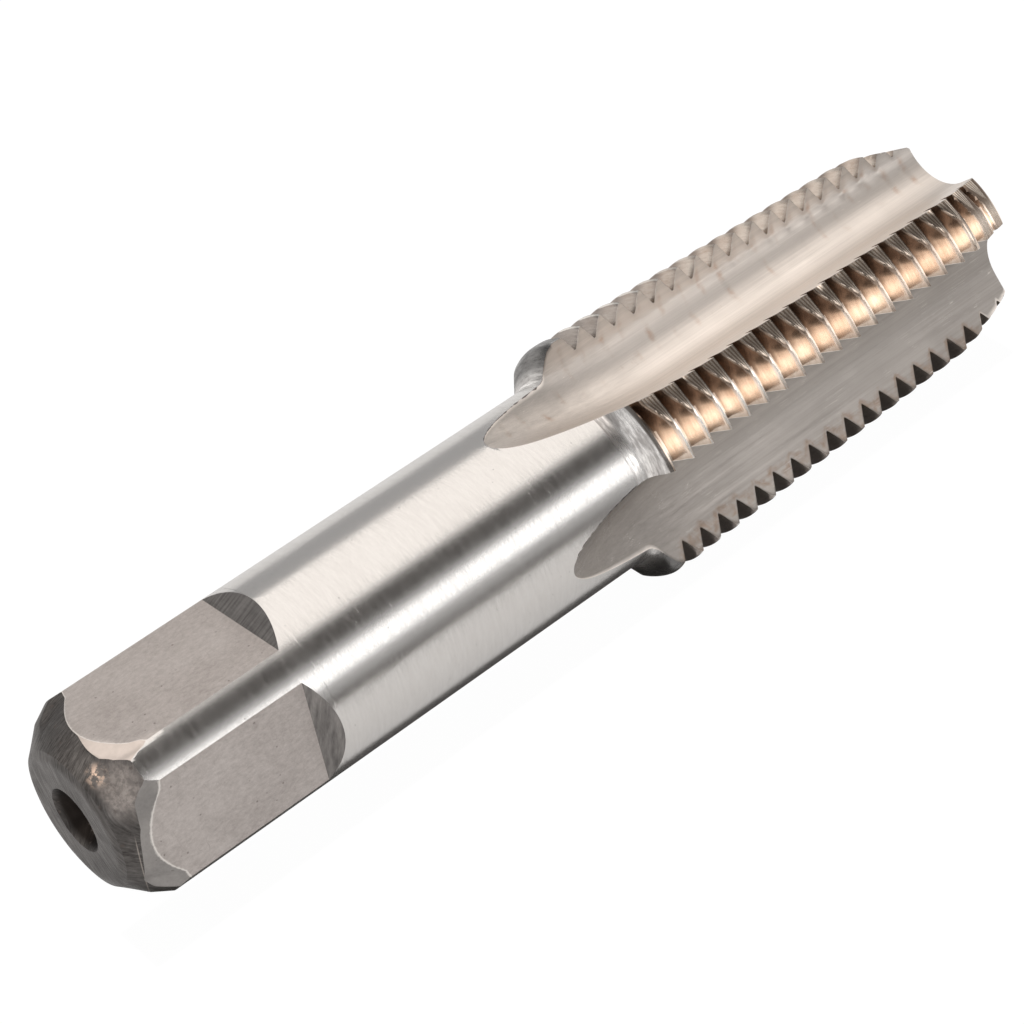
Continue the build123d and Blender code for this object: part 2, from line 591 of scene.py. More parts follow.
# x, angle, size along, width in degrees, strength
STAIN_SPOTS = (
    (35.6, 158.0, 0.5, 3.0, 0.8),
    (38.4, 66.0, 1.6, 3.0, 0.35),
    (44.0, 67.0, 5.0, 3.0, 0.25),
    (36.4, 176.0, 1.4, 5.0, 0.35),
    (57.0, 175.0, 2.0, 6.0, 0.25),
)


@dataclass
class TapSurface:
    """The tap's whole skin as one grid: rows along the tap, columns round it."""

    blank: Blank = field(default_factory=Blank)
    square: DriveSquare = field(default_factory=DriveSquare)
    cutter: FluteCutter = field(default_factory=FluteCutter)
    thread: ThreadForm = field(default_factory=ThreadForm)
    drive_hole: CentreHole = field(default_factory=lambda: CentreHole(1.8, 0.9, 3.4))
    tip_hole: CentreHole = field(default_factory=lambda: CentreHole(1.5, 0.7, 3.0))
    flute_columns: int = 30
    edge_columns: int = 6
    land_columns: int = 14
    edge_zone: float = 1.6
    square_start: float = 3.4
    foot_margin: float = 0.45
    end_gap: float = 0.03
    lead_start: float = 33.4
    lead_ease: float = 0.7
    tip_ease: float = 0.2
    thread_from: float = 33.9
    collar_top: float = 34.6
    tip_face_r: float = 3.08
    shank_spread: float = 19.0
    sink_probe: float = 0.8
    sink_from: float = 33.5
    burr_start: float = 33.0
    burr_fade: float = 1.5
    rest_height: float = REST_HEIGHT

    def __post_init__(self) -> None:
        """Solves where each flute's section leaves the blank, all along the tap."""
        self.sec_u, self.sec_w, self.sec_s = self.cutter.section()
        self.grid_x = np.linspace(27.0, self.blank.length + 0.2, 1400)
        self.lowest = int(np.argmin(self.sec_u))
        face, heel, low_r = [], [], []
        for x in self.grid_x:
            u = self.cutter.lift(self.sec_u, x)
            r = np.hypot(u, self.sec_w)
            limit = float(self.blank.radius(x))
            floor = int(np.argmin(r))
            low_r.append(r[floor])
            if r[floor] >= limit:
                face.append(self.sec_s[floor])
                heel.append(self.sec_s[floor])
                continue
            face.append(np.interp(limit, r[: floor + 1][::-1], self.sec_s[: floor + 1][::-1]))
            heel.append(np.interp(limit, r[floor:], self.sec_s[floor:]))
        self.face_s, self.heel_s = np.array(face), np.array(heel)
        gap = self.blank.radius(self.grid_x) - np.array(low_r)
        first = int(np.argmax(gap > 0))
        share = -gap[first - 1] / (gap[first] - gap[first - 1])
        self.tip_x = float(self.grid_x[first - 1] + share * (self.grid_x[first] - self.grid_x[first - 1]))
        u = self.cutter.lift(self.sec_u, self.tip_x)
        at = int(np.argmin(np.hypot(u, self.sec_w)))
        self.tip_s = float(self.sec_s[at])
        self.tip_angle = degrees(atan2(self.sec_w[at], u[at]))

    def section_point(self, s: np.ndarray, x: np.ndarray) -> tuple:
        """Places a point of the flute's section.

        Args:
            s: Length along the section.
            x: Place along the tap.

        Returns:
            Distance from the axis and angle in degrees from the cutter's middle.
        """
        u = self.cutter.lift(np.interp(s, self.sec_s, self.sec_u), x)
        w = np.interp(s, self.sec_s, self.sec_w)
        return np.hypot(u, w), np.degrees(np.arctan2(w, u))

    def edge_angles(self, x: np.ndarray) -> tuple:
        """Finds the flute's two edges.

        Args:
            x: Place along the tap.

        Returns:
            The angles of the face edge and the heel edge from the cutter's middle.
        """
        face = self.section_point(np.interp(x, self.grid_x, self.face_s), x)[1]
        heel = self.section_point(np.interp(x, self.grid_x, self.heel_s), x)[1]
        return face, heel

    def row_places(self) -> dict:
        """Lists the rows along the tap by zone.

        Returns:
            Arrays of x for the zones flats, shoulder, shank, runout, collar and thread.
        """
        top = self.square.foot_x + self.blank.shank_r - self.square.half
        arc = np.radians(np.linspace(self.square.corner(self.blank.shank_r), 0, 12))
        t = np.linspace(0, 1, 44)
        eased = t - 0.12 * np.sin(2 * pi * t)
        foot = self.blank.collar_foot - self.foot_margin
        run = self.tip_x + (foot - self.tip_x) * np.linspace(0, 1, 30) ** 1.7
        quarter = self.thread.pitch / 4
        begin = self.thread.first_x + self.thread.pitch / 8 - self.thread.pitch / 2
        last = self.blank.length - self.blank.tip_edge
        starts = [begin + n * quarter for n in range(int((last - begin) / quarter) + 1)]
        rows = [x + part for x in starts for part in self.thread.rows_per_quarter]
        rows = [x for x in rows if x < last - self.end_gap] + [last, self.blank.length]
        return {
            "flats": np.linspace(self.square_start, self.square.foot_x, 17),
            "shoulder": self.square.foot_x + self.blank.shank_r * np.cos(arc) - self.square.half,
            "shank": top + (self.tip_x - top) * eased,
            "runout": run,
            "collar": np.linspace(foot, rows[0], 20)[:-1],
            "thread": np.array(rows),
        }

    def end_rows(self, off: float, turn: float, on_flat: bool, ground: bool) -> list:
        """Finds where the drive end's creases cross one line along the tap.

        Args:
            off: Degrees from the nearest flat's middle.
            turn: Degrees round from the top flat's middle, up to 180.
            on_flat: Whether the line lies on a flat further along.
            ground: Whether it lies on the corner that was ground by hand.

        Returns:
            Tuples of x and kind of crease, from the end face to the plain square.
        """
        x = np.linspace(self.blank.rim_top[0], self.square_start, 2600)
        rim_x, rim_r = self.square.rim_point(self.blank.rim, np.array(off), np.array(turn))
        base = self.blank.end_radius(x, rim_x, rim_r)
        bevel = self.square.bevel_radius(x, off, ground)
        inner = self.square.flat_radius(x, off) if on_flat else np.full_like(x, np.inf)
        top = np.minimum(base, inner)
        cut = bevel < top - 1e-6
        if cut.any():
            first, last = float(x[np.argmax(cut)]), float(x[len(x) - 1 - np.argmax(cut[::-1])])
        else:
            first = last = float(rim_x) if on_flat else self.blank.chamfer_x
        return [min(float(rim_x), first), first, last]

    def from_flat(self, angles: np.ndarray) -> np.ndarray:
        """Returns the degrees of each angle from the nearest flat's middle."""
        return (angles - (90 + self.square.turn) + 45) % 90 - 45

    def columns_at(self, x: float) -> np.ndarray:
        """Places the columns where the tap is still solid, before the flutes.

        Args:
            x: Place along the tap.

        Returns:
            The angle of every column.
        """
        top = self.square.foot_x + self.blank.shank_r - self.square.half
        if x <= top:
            height = self.square.half + max(0.0, x - self.square.foot_x)
            half = degrees(np.arccos(min(1.0, height / self.blank.shank_r)))
            middle = self.square.turn
        else:
            t = min(1.0, (x - top) / (self.tip_x - top))
            half = self.shank_spread * max(0.0, sin(pi * t)) ** 0.7
            swing = self.cutter.tilt + self.tip_angle - self.square.turn
            middle = self.square.turn + swing * (t * t * (3 - 2 * t))
        angles = []
        for k in range(4):
            centre = 90 + 90 * k + middle
            angles += list(np.linspace(centre - half, centre + half, self.flute_columns + 1)[:-1])
            angles += list(np.linspace(centre + half, centre + 90 - half, self.land_columns + 1)[:-1])
        return np.array(angles)

    def build(self) -> dict:
        """Works out every point of the skin and what the finishes need to know about it.

        Returns:
            Arrays by name: points (rows, columns, 3), finish per face, and the point attributes.
        """
        rows = self.row_places()
        per = self.flute_columns + self.land_columns
        total = 4 * per
        index = np.arange(total)
        local = index % per
        is_flute = local < self.flute_columns
        layers, finishes = [], []

        def add(x: np.ndarray, r: np.ndarray, a: np.ndarray, kind: np.ndarray) -> None:
            """Keeps one row of points and the finish of the faces that follow it."""
            places = np.broadcast_to(x, (total,)).astype(float)
            layers.append((places, np.array(r, float), np.array(a, float)))
            finishes.append(np.broadcast_to(kind, (total,)).astype(int))

        # drive end: face, rim, chamfer and bevels
        angles = self.columns_at(8.0)
        middle = 90 + self.square.turn
        off = self.from_flat(angles)
        corner = self.square.corner(self.blank.shank_r)
        on_flat = np.abs(off) <= corner + 1e-6
        turn = (angles - middle) % 180
        low, high = self.square.ground_turns
        ground = (turn > low) & (turn < high)
        creases = np.array([self.end_rows(o, t, bool(f), bool(g))
                            for o, t, f, g in zip(off, turn, on_flat, ground)])

        def end_radius(x: np.ndarray) -> np.ndarray:
            """Finds the radius of the finished drive end.

            Args:
                x: Place along the tap in every column.

            Returns:
                The radius in every column.
            """
            rims = zip(x, *self.square.rim_point(self.blank.rim, off, turn))
            turned = np.array([self.blank.end_radius(*rim) for rim in rims])
            r = np.minimum(turned, self.square.bevel_radius(x, off, ground))
            return np.where(on_flat, np.minimum(r, self.square.flat_radius(x, off)), r)

        end = Finish.TURNED_END.value
        first = np.zeros(total)
        marks = [first, first + self.blank.rim_top[0], creases[:, 0], creases[:, 1], creases[:, 2],
                 first + self.square_start]
        has_bevel = creases[:, 2] > creases[:, 1] + 1e-4
        # where the worn edge runs on the flats; on the ridges between them it lies off the tap
        self.bevel_line = np.where(on_flat, creases[:, 2], -9.0)
        face_bevel = has_bevel | np.roll(has_bevel, -1)
        pale = face_bevel & (turn < high - 2)
        # the bevels past the hand-ground corner get a darker copy of the bevel's steel: painted shade
        worn = face_bevel & (turn > high) & (turn < 90 + high + 4)
        worn_kind = np.where(pale, Finish.HAND_BEVEL.value, np.where(worn, Finish.WORN_SHADED_BEVEL.value, end))
        body = np.where(is_flute, Finish.MILLED_FLAT.value, Finish.GROUND_SHANK.value)
        kinds = [end, end, end, worn_kind, body]
        for n, steps in enumerate((3, 7, 6, 6, 5)):
            for t in np.linspace(0, 1, steps + 1)[:-1]:
                x = marks[n] + (marks[n + 1] - marks[n]) * t
                add(x, end_radius(x), angles, kinds[n])
        # flats and shoulders
        for x in rows["flats"][:-1]:
            add(x, end_radius(np.full(total, x)), angles, body)
        shoulder = np.where(is_flute, Finish.MILLED_SHOULDER.value, Finish.GROUND_SHANK.value)
        for x in rows["shoulder"][:-1]:
            a = self.columns_at(x)
            milled = np.minimum(self.blank.shank_r, self.square.flat_radius(x, self.from_flat(a)))
            on_flat_side = is_flute | (local == self.flute_columns)
            add(x, np.where(on_flat_side, milled, self.blank.shank_r), a, shoulder)
        for x in rows["shank"][:-1]:
            add(x, np.full(total, self.blank.shank_r), self.columns_at(x), Finish.GROUND_SHANK.value)

        # fluted part
        after = np.concatenate([rows["runout"][:-1], rows["collar"], rows["thread"]])
        for x0 in after:
            on_collar = x0 > self.blank.collar_foot - self.foot_margin - 0.01
            plain = Finish.TURNED_COLLAR if on_collar else Finish.GROUND_SHANK
            land = np.where(x0 > self.groove_start(), Finish.THREAD_LAND.value, plain.value)
            to_end = self.blank.length - self.blank.tip_edge - x0
            begun, left = (x0 - self.lead_start) / self.lead_ease, to_end / self.tip_ease
            skew = float(np.clip(begun, 0, 1) * np.clip(left, 0, 1))
            add(*self.fluted_row(x0, skew, local), np.where(is_flute, Finish.GROUND_FLUTE.value, land))
        return self.assemble(layers, finishes, local, is_flute)

    def groove_start(self) -> np.ndarray:
        """Finds where the first groove begins on each land.

        Returns:
            The place along the tap, by column.
        """
        per = self.flute_columns + self.land_columns
        quarter = np.arange(4 * per) // per
        return self.thread.first_x + self.thread.pitch * ((quarter + 0.5) / 4 - 0.5) + 0.02

    def fluted_row(self, x0: float, skew: float, local: np.ndarray) -> tuple:
        """Places one row of points across flutes and lands.

        Args:
            x0: The row's place at the middle of each land.
            skew: Share of the thread's lead that the row follows.
            local: Number of each column within its quarter.

        Returns:
            Arrays of x, radius and angle of the row.
        """
        f, e, n = self.flute_columns, self.edge_columns, self.land_columns
        face0, heel0 = self.edge_angles(np.array(x0))
        land_half = (90 + float(face0) - float(heel0)) / 2
        lean = skew * self.thread.pitch / 360
        xs, rs, angs = np.zeros(len(local)), np.zeros(len(local)), np.zeros(len(local))
        for j in range(f + n):
            if j < f:
                t = j / f
                x = x0 + lean * land_half * (1 - 2 * t)
                s0, s1 = np.interp(x, self.grid_x, self.face_s), np.interp(x, self.grid_x, self.heel_s)
                zone = min(self.edge_zone, 0.3 * (s1 - s0))
                if j <= e:
                    s = s0 + zone * j / e
                elif j >= f - e:
                    s = s1 - zone * (f - j) / e
                else:
                    s = s0 + zone + (s1 - s0 - 2 * zone) * (j - e) / (f - 2 * e)
                r, a = self.section_point(s, x)
            else:
                t = (j - f) / n
                x = x0 + lean * land_half * (2 * t - 1)
                face, heel = self.edge_angles(np.array(x))
                a = float(heel) + (90 + float(face) - float(heel)) * t
                r = float(self.blank.radius(x))
            for k in range(4):
                at = k * (f + n) + j
                xs[at], rs[at] = x, r
                angs[at] = 90 + self.cutter.tilt + 90 * k + a
        return xs, rs, angs

    def assemble(self, layers: list, finishes: list, local: np.ndarray, is_flute: np.ndarray) -> dict:
        """Turns the rows into points with attributes, and adds both end faces.

        Args:
            layers: The rows as x, radius and angle.
            finishes: The finish of the faces after each row.
            local: Number of each column within its quarter.
            is_flute: Whether each column lies in a flute or on a flat.

        Returns:
            Arrays by name.
        """
        x = np.array([row[0] for row in layers])
        r = np.array([row[1] for row in layers])
        a = np.array([row[2] for row in layers])
        f, n, e = self.flute_columns, self.land_columns, self.edge_columns
        total = len(local)
        # the nearest land edge of each flute column, for the thread's sinking
        quarter = np.arange(total) // (f + n)
        to_face = np.where(is_flute & (local <= f / 2), quarter * (f + n), -1)
        to_heel = np.where(is_flute & (local > f / 2), quarter * (f + n) + f, -1)
        owner = np.where(to_face >= 0, to_face, np.where(to_heel >= 0, to_heel, np.arange(total))) % total
        near = np.where(is_flute, np.clip(1 - np.minimum(local, f - local) / e, 0, 1), 1.0)
        along, around = x[:, owner], a[:, owner].copy()
        base = self.blank.radius(along)
        room = self.blank.crest(along) - base
        turns = (around - 90) / 360
        turns = np.where((owner == 0)[None, :], turns + 1.0, turns)
        # direction that a land point sinks in: down its face, its heel, or straight in
        sink = np.zeros(x.shape + (3,))
        probe = self.sink_probe
        face_low = self.low_angle(along, base - probe, True)
        heel_low = self.low_angle(along, base - probe, False)
        share = np.where(is_flute, np.where(local <= f / 2, 1.0, 0.0), (local - f) / n)[None, :]
        top = a[:, owner]
        face_top, heel_top = self.edge_angles(along)
        drift = (face_low - face_top) * share + (heel_low - heel_top) * (1 - share)
        low = top + drift
        sink[..., 1] = ((base - probe) * np.cos(np.radians(low)) - base * np.cos(np.radians(top))) / probe
        sink[..., 2] = ((base - probe) * np.sin(np.radians(low)) - base * np.sin(np.radians(top))) / probe
        sink *= (x > self.thread_from)[..., None] * near[None, :, None]
        points = np.stack([x - self.blank.length / 2, r * np.cos(np.radians(a)),
                           r * np.sin(np.radians(a)) + self.rest_height], axis=-1)
        across = np.where(is_flute, np.where(local == 0, 1.0, -1.0), (local - f) / n) * np.ones_like(x)
        width = np.radians(np.abs(face_top - heel_top + 90)) * base
        to_edge = np.where(is_flute[None, :], np.minimum(local, f - local)[None, :] * 0.25,
                           np.minimum(share, 1 - share) * width)
        to_edge = np.where(x < self.tip_x, np.minimum(1.0, np.abs(x - self.bevel_line[None, :])), to_edge)
        return {"points": points, "finish": np.array(finishes), "along": along, "turns": turns, "room": room,
                "sink": sink, "across": across, "edge": to_edge, "angle": a, "stain": self.stain_map(x, r, a),
                **self.shades(x, r, local, is_flute, owner)}

    def shades(self, x: np.ndarray, r: np.ndarray, local: np.ndarray, is_flute: np.ndarray,
               owner: np.ndarray) -> dict:
        """Works out what the finishes vary with: tone with painted shade and reflection, golden tint with a
        painted highlight, burr, place on the section and heel wedge.

        Args:
            x: Places along the tap.
            r: Distances from the axis.
            local: Number of each column within its quarter.
            is_flute: Whether each column lies in a flute or on a flat.
            owner: The land column whose thread each column follows.

        Returns:
            Arrays by name.
        """
        f, n = self.flute_columns, self.land_columns
        ones = np.ones_like(x)
        quarter = np.arange(len(local)) // (f + n)
        land = np.where(local == 0, (quarter - 1) % 4, quarter)
        section = np.where(is_flute, local / f, 1.0)
        top_tone = np.where(quarter == 0, np.interp(section, *TOP_FLUTE_SHADE_AND_REFLECTION), 1.0)
        # painted shade: each flute's colour is darkened by how little light it gets
        tone = ones * np.array(FLUTE_SHADE_TONES)[quarter] * top_tone
        tone = tone * np.interp(x, *FLUTE_SHADE_ALONG)
        # painted shade: two of the collar's quarters darken with height
        shaded_collar = ((quarter == 3) | (quarter == 1)) & ~is_flute | (local == 0) & (quarter == 0)
        shaded = np.clip(1 - (r - SHANK_R - 0.1) / 0.8, 0.22, 1.0)
        plain = np.where(shaded_collar, shaded, np.interp(x, *TIP_TONE))
        tone = np.where(~is_flute | (local == 0) & (x < self.collar_top), plain, tone)
        # warm tint and painted highlight, strongest on the land that shows the light's reflection
        gold_and_highlight = np.where(land == 3, np.interp(x, *FAR_LAND_GOLD_AND_HIGHLIGHT), np.array(LAND_GOLD_AND_HIGHLIGHT)[land])
        own_across = np.where(owner % (f + n) == 0, 1.0, (owner % (f + n) - f) / n)
        wedge = np.clip(1 - (np.maximum(own_across, 0) / self.thread.heel_share) ** 1.4, 0, 1)
        face_side = is_flute & (local <= self.edge_columns) | ~is_flute & (local > f + n / 2)
        burr = face_side * np.clip(1 - (x - self.burr_start) / self.burr_fade, 0.25, 1) * (x > self.tip_x)
        return {"tone": tone, "gold_and_highlight": gold_and_highlight, "burr": burr, "section": ones * section,
                "relief": ones * wedge * np.array(LAND_RELIEF)[land[owner]]}

    @staticmethod
    def stain_map(x: np.ndarray, r: np.ndarray, a: np.ndarray) -> np.ndarray:
        """Marks where brown stain sits: under the teeth of land C and in patches on the flutes.

        Args:
            x: Places along the tap.
            r: Distances from the axis.
            a: Angles in degrees.

        Returns:
            Stain from 0 to 1 at each point.
        """
        turn = (a - 207.4 + 180) % 360 - 180
        teeth = np.exp(-((turn / 3.6) ** 2)) * np.clip((x - 33.6) / 1.2, 0, 1)
        total = 0.55 * teeth * np.clip((r - 4.8) / 1.2, 0, 1)
        for at, angle, size, wide, strength in STAIN_SPOTS:
            off = (a - angle + 180) % 360 - 180
            total = total + strength * np.exp(-(((x - at) / size) ** 2) - (off / wide) ** 2)
        return np.clip(total, 0, 1)

    def low_angle(self, x: np.ndarray, r: np.ndarray, face: bool) -> np.ndarray:
        """Finds the angle at which the flute's wall reaches a smaller radius.

        Args:
            x: Places along the tap.
            r: The smaller radii.
            face: True for the cutting face, False for the heel.

        Returns:
            Angles in degrees from the cutter's middle.
        """
        wall = slice(0, self.lowest + 1) if face else slice(self.lowest, None)
        u, w, s = self.sec_u[wall], self.sec_w[wall], self.sec_s[wall]
        out = np.zeros_like(x)
        for i in range(x.shape[0]):
            place = float(x[i].mean())
            if place < self.sink_from:
                out[i] = self.edge_angles(x[i])[0 if face else 1]
                continue
            lifted = self.cutter.lift(u, place)
            radius = np.hypot(lifted, w)
            order = np.argsort(radius)
            at = np.interp(r[i], radius[order], s[order])
            out[i] = self.section_point(at, x[i])[1]
        return out


class TapBody:
    """Makes the tap's mesh from its skin, winds the thread into it and dresses it."""

    name = "tap_body"

    def __init__(self, surface: TapSurface, materials: dict) -> None:
        """Keeps what the body is made from.

        Args:
            surface: The tap's skin.
            materials: One material for each Finish.
        """
        self.surface = surface
        self.materials = materials

    def mesh(self) -> bpy.types.Mesh:
        """Makes the closed mesh, before the thread is wound in.

        Returns:
            The mesh, with its attributes.
        """
        data = self.surface.build()
        rows, columns = data["points"].shape[:2]
        points = [data["points"].reshape(-1, 3)]
        names = ("along", "turns", "room", "across", "edge", "stain",
                 "tone", "gold_and_highlight", "burr", "section", "relief")
        # the end faces have no thread, no edge, no stain and no burr
        at_ends = {"room": 9.0, "across": -1.0, "edge": 1.0, "stain": 0.0, "burr": 0.0}
        values = {key: [data[key].reshape(-1)] for key in names}
        sink = [data["sink"].reshape(-1, 3)]
        faces, finish = [], []
        grid = np.arange(rows * columns).reshape(rows, columns)

        def band(lower: np.ndarray, upper: np.ndarray, kinds: np.ndarray) -> None:
            """Joins two rings of points with faces of the given finishes."""
            faces.append(np.stack([lower, np.roll(lower, -1), np.roll(upper, -1), upper], axis=-1))
            finish.append(kinds)

        for i in range(rows - 1):
            band(grid[i], grid[i + 1], data["finish"][i])
        count = rows * columns
        for drive in (True, False):
            end = 0 if drive else -1
            last, angle = grid[end], data["angle"][end]
            kind = np.full(columns, (Finish.TURNED_END if drive else Finish.TIP_FACE).value)
            if drive:
                rings = self.surface.drive_hole.rings(self.surface.blank.face_r, 6)
            else:
                angle = self.inner_angles(angle)
                outer = self.surface.tip_face_r
                rings = [(0.0, outer)] + self.surface.tip_hole.rings(outer, 6)
            turn = np.radians(angle)
            for depth, radius in rings:
                x = depth if drive else self.surface.blank.length - depth
                x = np.full(columns, x - self.surface.blank.length / 2)
                z = radius * np.sin(turn) + self.surface.rest_height
                points.append(np.stack([x, radius * np.cos(turn), z], axis=-1))
                for key in names:
                    plain = np.full(columns, at_ends[key]) if key in at_ends else data[key][end]
                    values[key].append(plain)
                sink.append(np.zeros((columns, 3)))
                ids = np.arange(count, count + columns)
                band(*((ids, last) if drive else (last, ids)), kind)
                last = ids
                count += columns
        mesh = bpy.data.meshes.new(self.name)
        mesh.from_pydata((np.concatenate(points) * MM).tolist(), [], np.concatenate(faces).tolist())
        for key in names:
            scale = MM if key in ("along", "room", "edge") else 1.0
            mesh.attributes.new(key, "FLOAT", "POINT").data.foreach_set(
                "value", (np.concatenate(values[key]) * scale).astype(np.float32))
        mesh.attributes.new("sink", "FLOAT_VECTOR", "POINT").data.foreach_set(
            "vector", np.concatenate(sink).reshape(-1).astype(np.float32))
        mesh.attributes.new("finish", "INT", "FACE").data.foreach_set(
            "value", np.concatenate(finish).astype(np.int32))
        return self.cleaned(mesh)

    @staticmethod
    def inner_angles(angle: np.ndarray) -> np.ndarray:
        """Spreads the contour's angles so that the tip face folds nowhere.

        Args:
            angle: The contour's angles in degrees.

        Returns:
            Angles that always grow round the ring.
        """
        out = angle.copy()
        for i in range(len(out) - 2, -1, -1):
            out[i] = min(out[i], out[i + 1] - 0.03)
        return out

    def cleaned(self, mesh: bpy.types.Mesh) -> bpy.types.Mesh:
        """Merges doubled points, drops empty faces and turns the faces outward.

        Args:
            mesh: The raw mesh.

        Returns:
            The same mesh.
        """
        work = bmesh.new()
        work.from_mesh(mesh)
        bmesh.ops.remove_doubles(work, verts=work.verts, dist=MERGE_DISTANCE)
        bmesh.ops.dissolve_degenerate(work, edges=work.edges, dist=EMPTY_EDGE)
        if work.calc_volume(signed=True) < 0:
            bmesh.ops.reverse_faces(work, faces=work.faces)
        work.to_mesh(mesh)
        work.free()
        return mesh

    def thread_tree(self) -> bpy.types.NodeTree:
        """Builds the tree that winds the thread into the lands and gives each face its material.

        Returns:
            The geometry node tree.
        """
        tree, w, start, stop = new_group(
            "WindThread", "GeometryNodeTree",
            [("Geometry", "NodeSocketGeometry", None)]
            + [(name, "NodeSocketFloat", value) for name, value in self.surface.thread.sizes().items()],
            [("Geometry", "NodeSocketGeometry")])
        given = {socket.name: socket for socket in start.outputs}

        def stored(name: str, kind: str = "FLOAT") -> Socket:
            """Reads one attribute.

            Args:
                name: The attribute's name.
                kind: Its data type.

            Returns:
                The value socket.
            """
            node = w.node("GeometryNodeInputNamedAttribute", data_type=kind)
            node.inputs["Name"].default_value = name
            return node.outputs[0]

        def kept(flow: Socket, name: str, value: Socket) -> Socket:
            """Stores a number on the points, for the finishes.

            Args:
                flow: The geometry.
                name: The attribute's name.
                value: The number.

            Returns:
                The geometry with the attribute.
            """
            node = w.node("GeometryNodeStoreNamedAttribute", data_type="FLOAT", domain="POINT")
            node.inputs["Name"].default_value = name
            w.feed(node, "Geometry", flow)
            w.feed(node, "Value", value)
            return node.outputs[0]

        wound = w.math("DIVIDE", w.minus(stored("along"), given["First Groove"]), given["Pitch"])
        wound = w.minus(wound, stored("turns"))
        cut = self.tooth_gap(w, given, wound, stored("relief"))
        cut = w.math("MAXIMUM", 0.0, w.minus(cut, stored("room")))
        # small nicks on the tooth edges
        grain = w.node("ShaderNodeTexNoise", noise_dimensions="4D")
        w.feed(grain, "Vector", w.node("GeometryNodeInputPosition").outputs[0])
        w.feed(grain, "W", given["Seed"])
        w.feed(grain, "Scale", given["Nick Grain"])
        w.feed(grain, "Detail", 2.0)
        rim = w.ramp(stored("edge"), 0.0, 0.35 * MM, 1.0, 0.12)
        nick = w.times(w.times(w.ramp(grain.outputs[0], 0.52, 0.75), rim), given["Nick Size"])
        land = w.ramp(stored("across"), -0.2, 0.0, 0.0, 1.0, "LINEAR")
        total = w.plus(cut, w.times(nick, land))
        moved = w.node("GeometryNodeSetPosition")
        w.feed(moved, "Geometry", kept(kept(given["Geometry"], "groove", cut), "wound", wound))
        w.feed(moved, "Offset", w.vector("SCALE", stored("sink", "FLOAT_VECTOR"), scale=total))
        real = w.node("GeometryNodeRealizeInstances")
        w.feed(real, 0, moved.outputs[0])
        flow = real.outputs[0]
        for kind in Finish:
            same = w.node("FunctionNodeCompare", data_type="INT", operation="EQUAL")
            w.feed(same, 2, stored("finish", "INT"))
            same.inputs[3].default_value = kind.value
            dress = w.node("GeometryNodeSetMaterial")
            w.feed(dress, "Geometry", flow)
            w.feed(dress, "Selection", same.outputs[0])
            dress.inputs["Material"].default_value = self.materials[kind]
            flow = dress.outputs[0]
        w.feed(stop, 0, flow)
        return tree

    def tooth_gap(self, w: Wiring, given: dict, wound: Socket, relief: Socket) -> Socket:
        """Shapes one gap between teeth: down one flank, along the root and up the next flank.

        Toward the heel the crest widens into a gentle slope and the root moves back.

        Args:
            w: The tree's wiring.
            given: The tree's inputs by name.
            wound: Turns of thread since the first groove.
            relief: How much the heel's wedge shows, 0 to 1.

        Returns:
            The gap's depth.
        """
        pitch, depth, slope = given["Pitch"], given["Groove Depth"], given["Heel Slope"]
        form = self.surface.thread
        root_front, root_back = form.heel_root
        down = w.minus(0.5, w.minus(wound, w.math("MAXIMUM", 0.0, w.math("ROUND", wound))))
        half = w.times(w.math("DIVIDE", w.minus(pitch, given["Crest Flat"]), pitch), 0.5)
        gentle = w.times(relief, given["Heel Width"])
        corner = w.times(w.times(gentle, pitch), slope)
        run = w.math("DIVIDE", w.times(depth, w.math("TANGENT", given["Flank Angle"])), pitch)
        root_start = w.math("MULTIPLY_ADD", relief, root_front, w.plus(run, form.crest_half))
        root_end = w.math("MULTIPLY_ADD", relief, root_back, w.minus(1 - form.crest_half, run))
        steep = w.math("DIVIDE", w.minus(depth, corner), w.minus(root_start, gentle))
        beyond = w.math("MULTIPLY_ADD", w.minus(down, gentle), steep, corner)
        front = w.math("MAXIMUM", w.times(w.times(down, pitch), slope), beyond)
        behind = w.math("DIVIDE", w.minus(w.plus(half, 0.5), down), w.minus(w.plus(half, 0.5), root_end))
        deep = w.math("MINIMUM", front, w.times(behind, depth))
        return w.math("MINIMUM", w.math("MAXIMUM", deep, 0.0), depth)

    def build(self) -> bpy.types.Object:
        """Makes the finished piece.

        Returns:
            The object, a plain mesh at the origin.
        """
        raw = bpy.data.objects.new(self.name + "_raw", self.mesh())
        bpy.context.scene.collection.objects.link(raw)
        tree = self.thread_tree()
        modifier = raw.modifiers.new("WindThread", "NODES")
        modifier.node_group = tree
        sizes = self.surface.thread.sizes()
        for item in tree.interface.items_tree:
            if item.item_type == "SOCKET" and item.in_out == "INPUT" and item.name in sizes:
                modifier[item.identifier] = sizes[item.name]
        bpy.context.view_layer.update()
        done = raw.evaluated_get(bpy.context.evaluated_depsgraph_get())
        mesh = bpy.data.meshes.new_from_object(done)
        mesh.name = self.name
        bpy.data.objects.remove(raw)
        mesh.shade_smooth()
        mesh.set_sharp_from_angle(angle=radians(SHARP_ANGLE))
        piece = bpy.data.objects.new(self.name, mesh)
        bpy.context.scene.collection.objects.link(piece)
        return piece


# ---------------------------------------------------------------- finishes


@dataclass(frozen=True)
class SteelLook:
    """How one kind of worked steel surface looks. Sizes are in mm."""

    bright: tuple
    dark: tuple
    roughness: float
    rough_swing: float
    stretch: tuple
    swing: float = 0.5
    bump: float = 0.010
    anisotropy: float = 0.0
    blotch: float = 0.12
    pits: float = 0.0
    pit_size: float = 0.09
    scratches: float = 0.0
    scratch_stretch: tuple = (0.1, 6.0, 2.0)
    edge_width: float = 0.0
    edge_color: tuple = (0.86, 0.82, 0.77, 1.0)
    stain: float = 0.0
    stain_color: tuple = (0.25, 0.13, 0.06, 1.0)


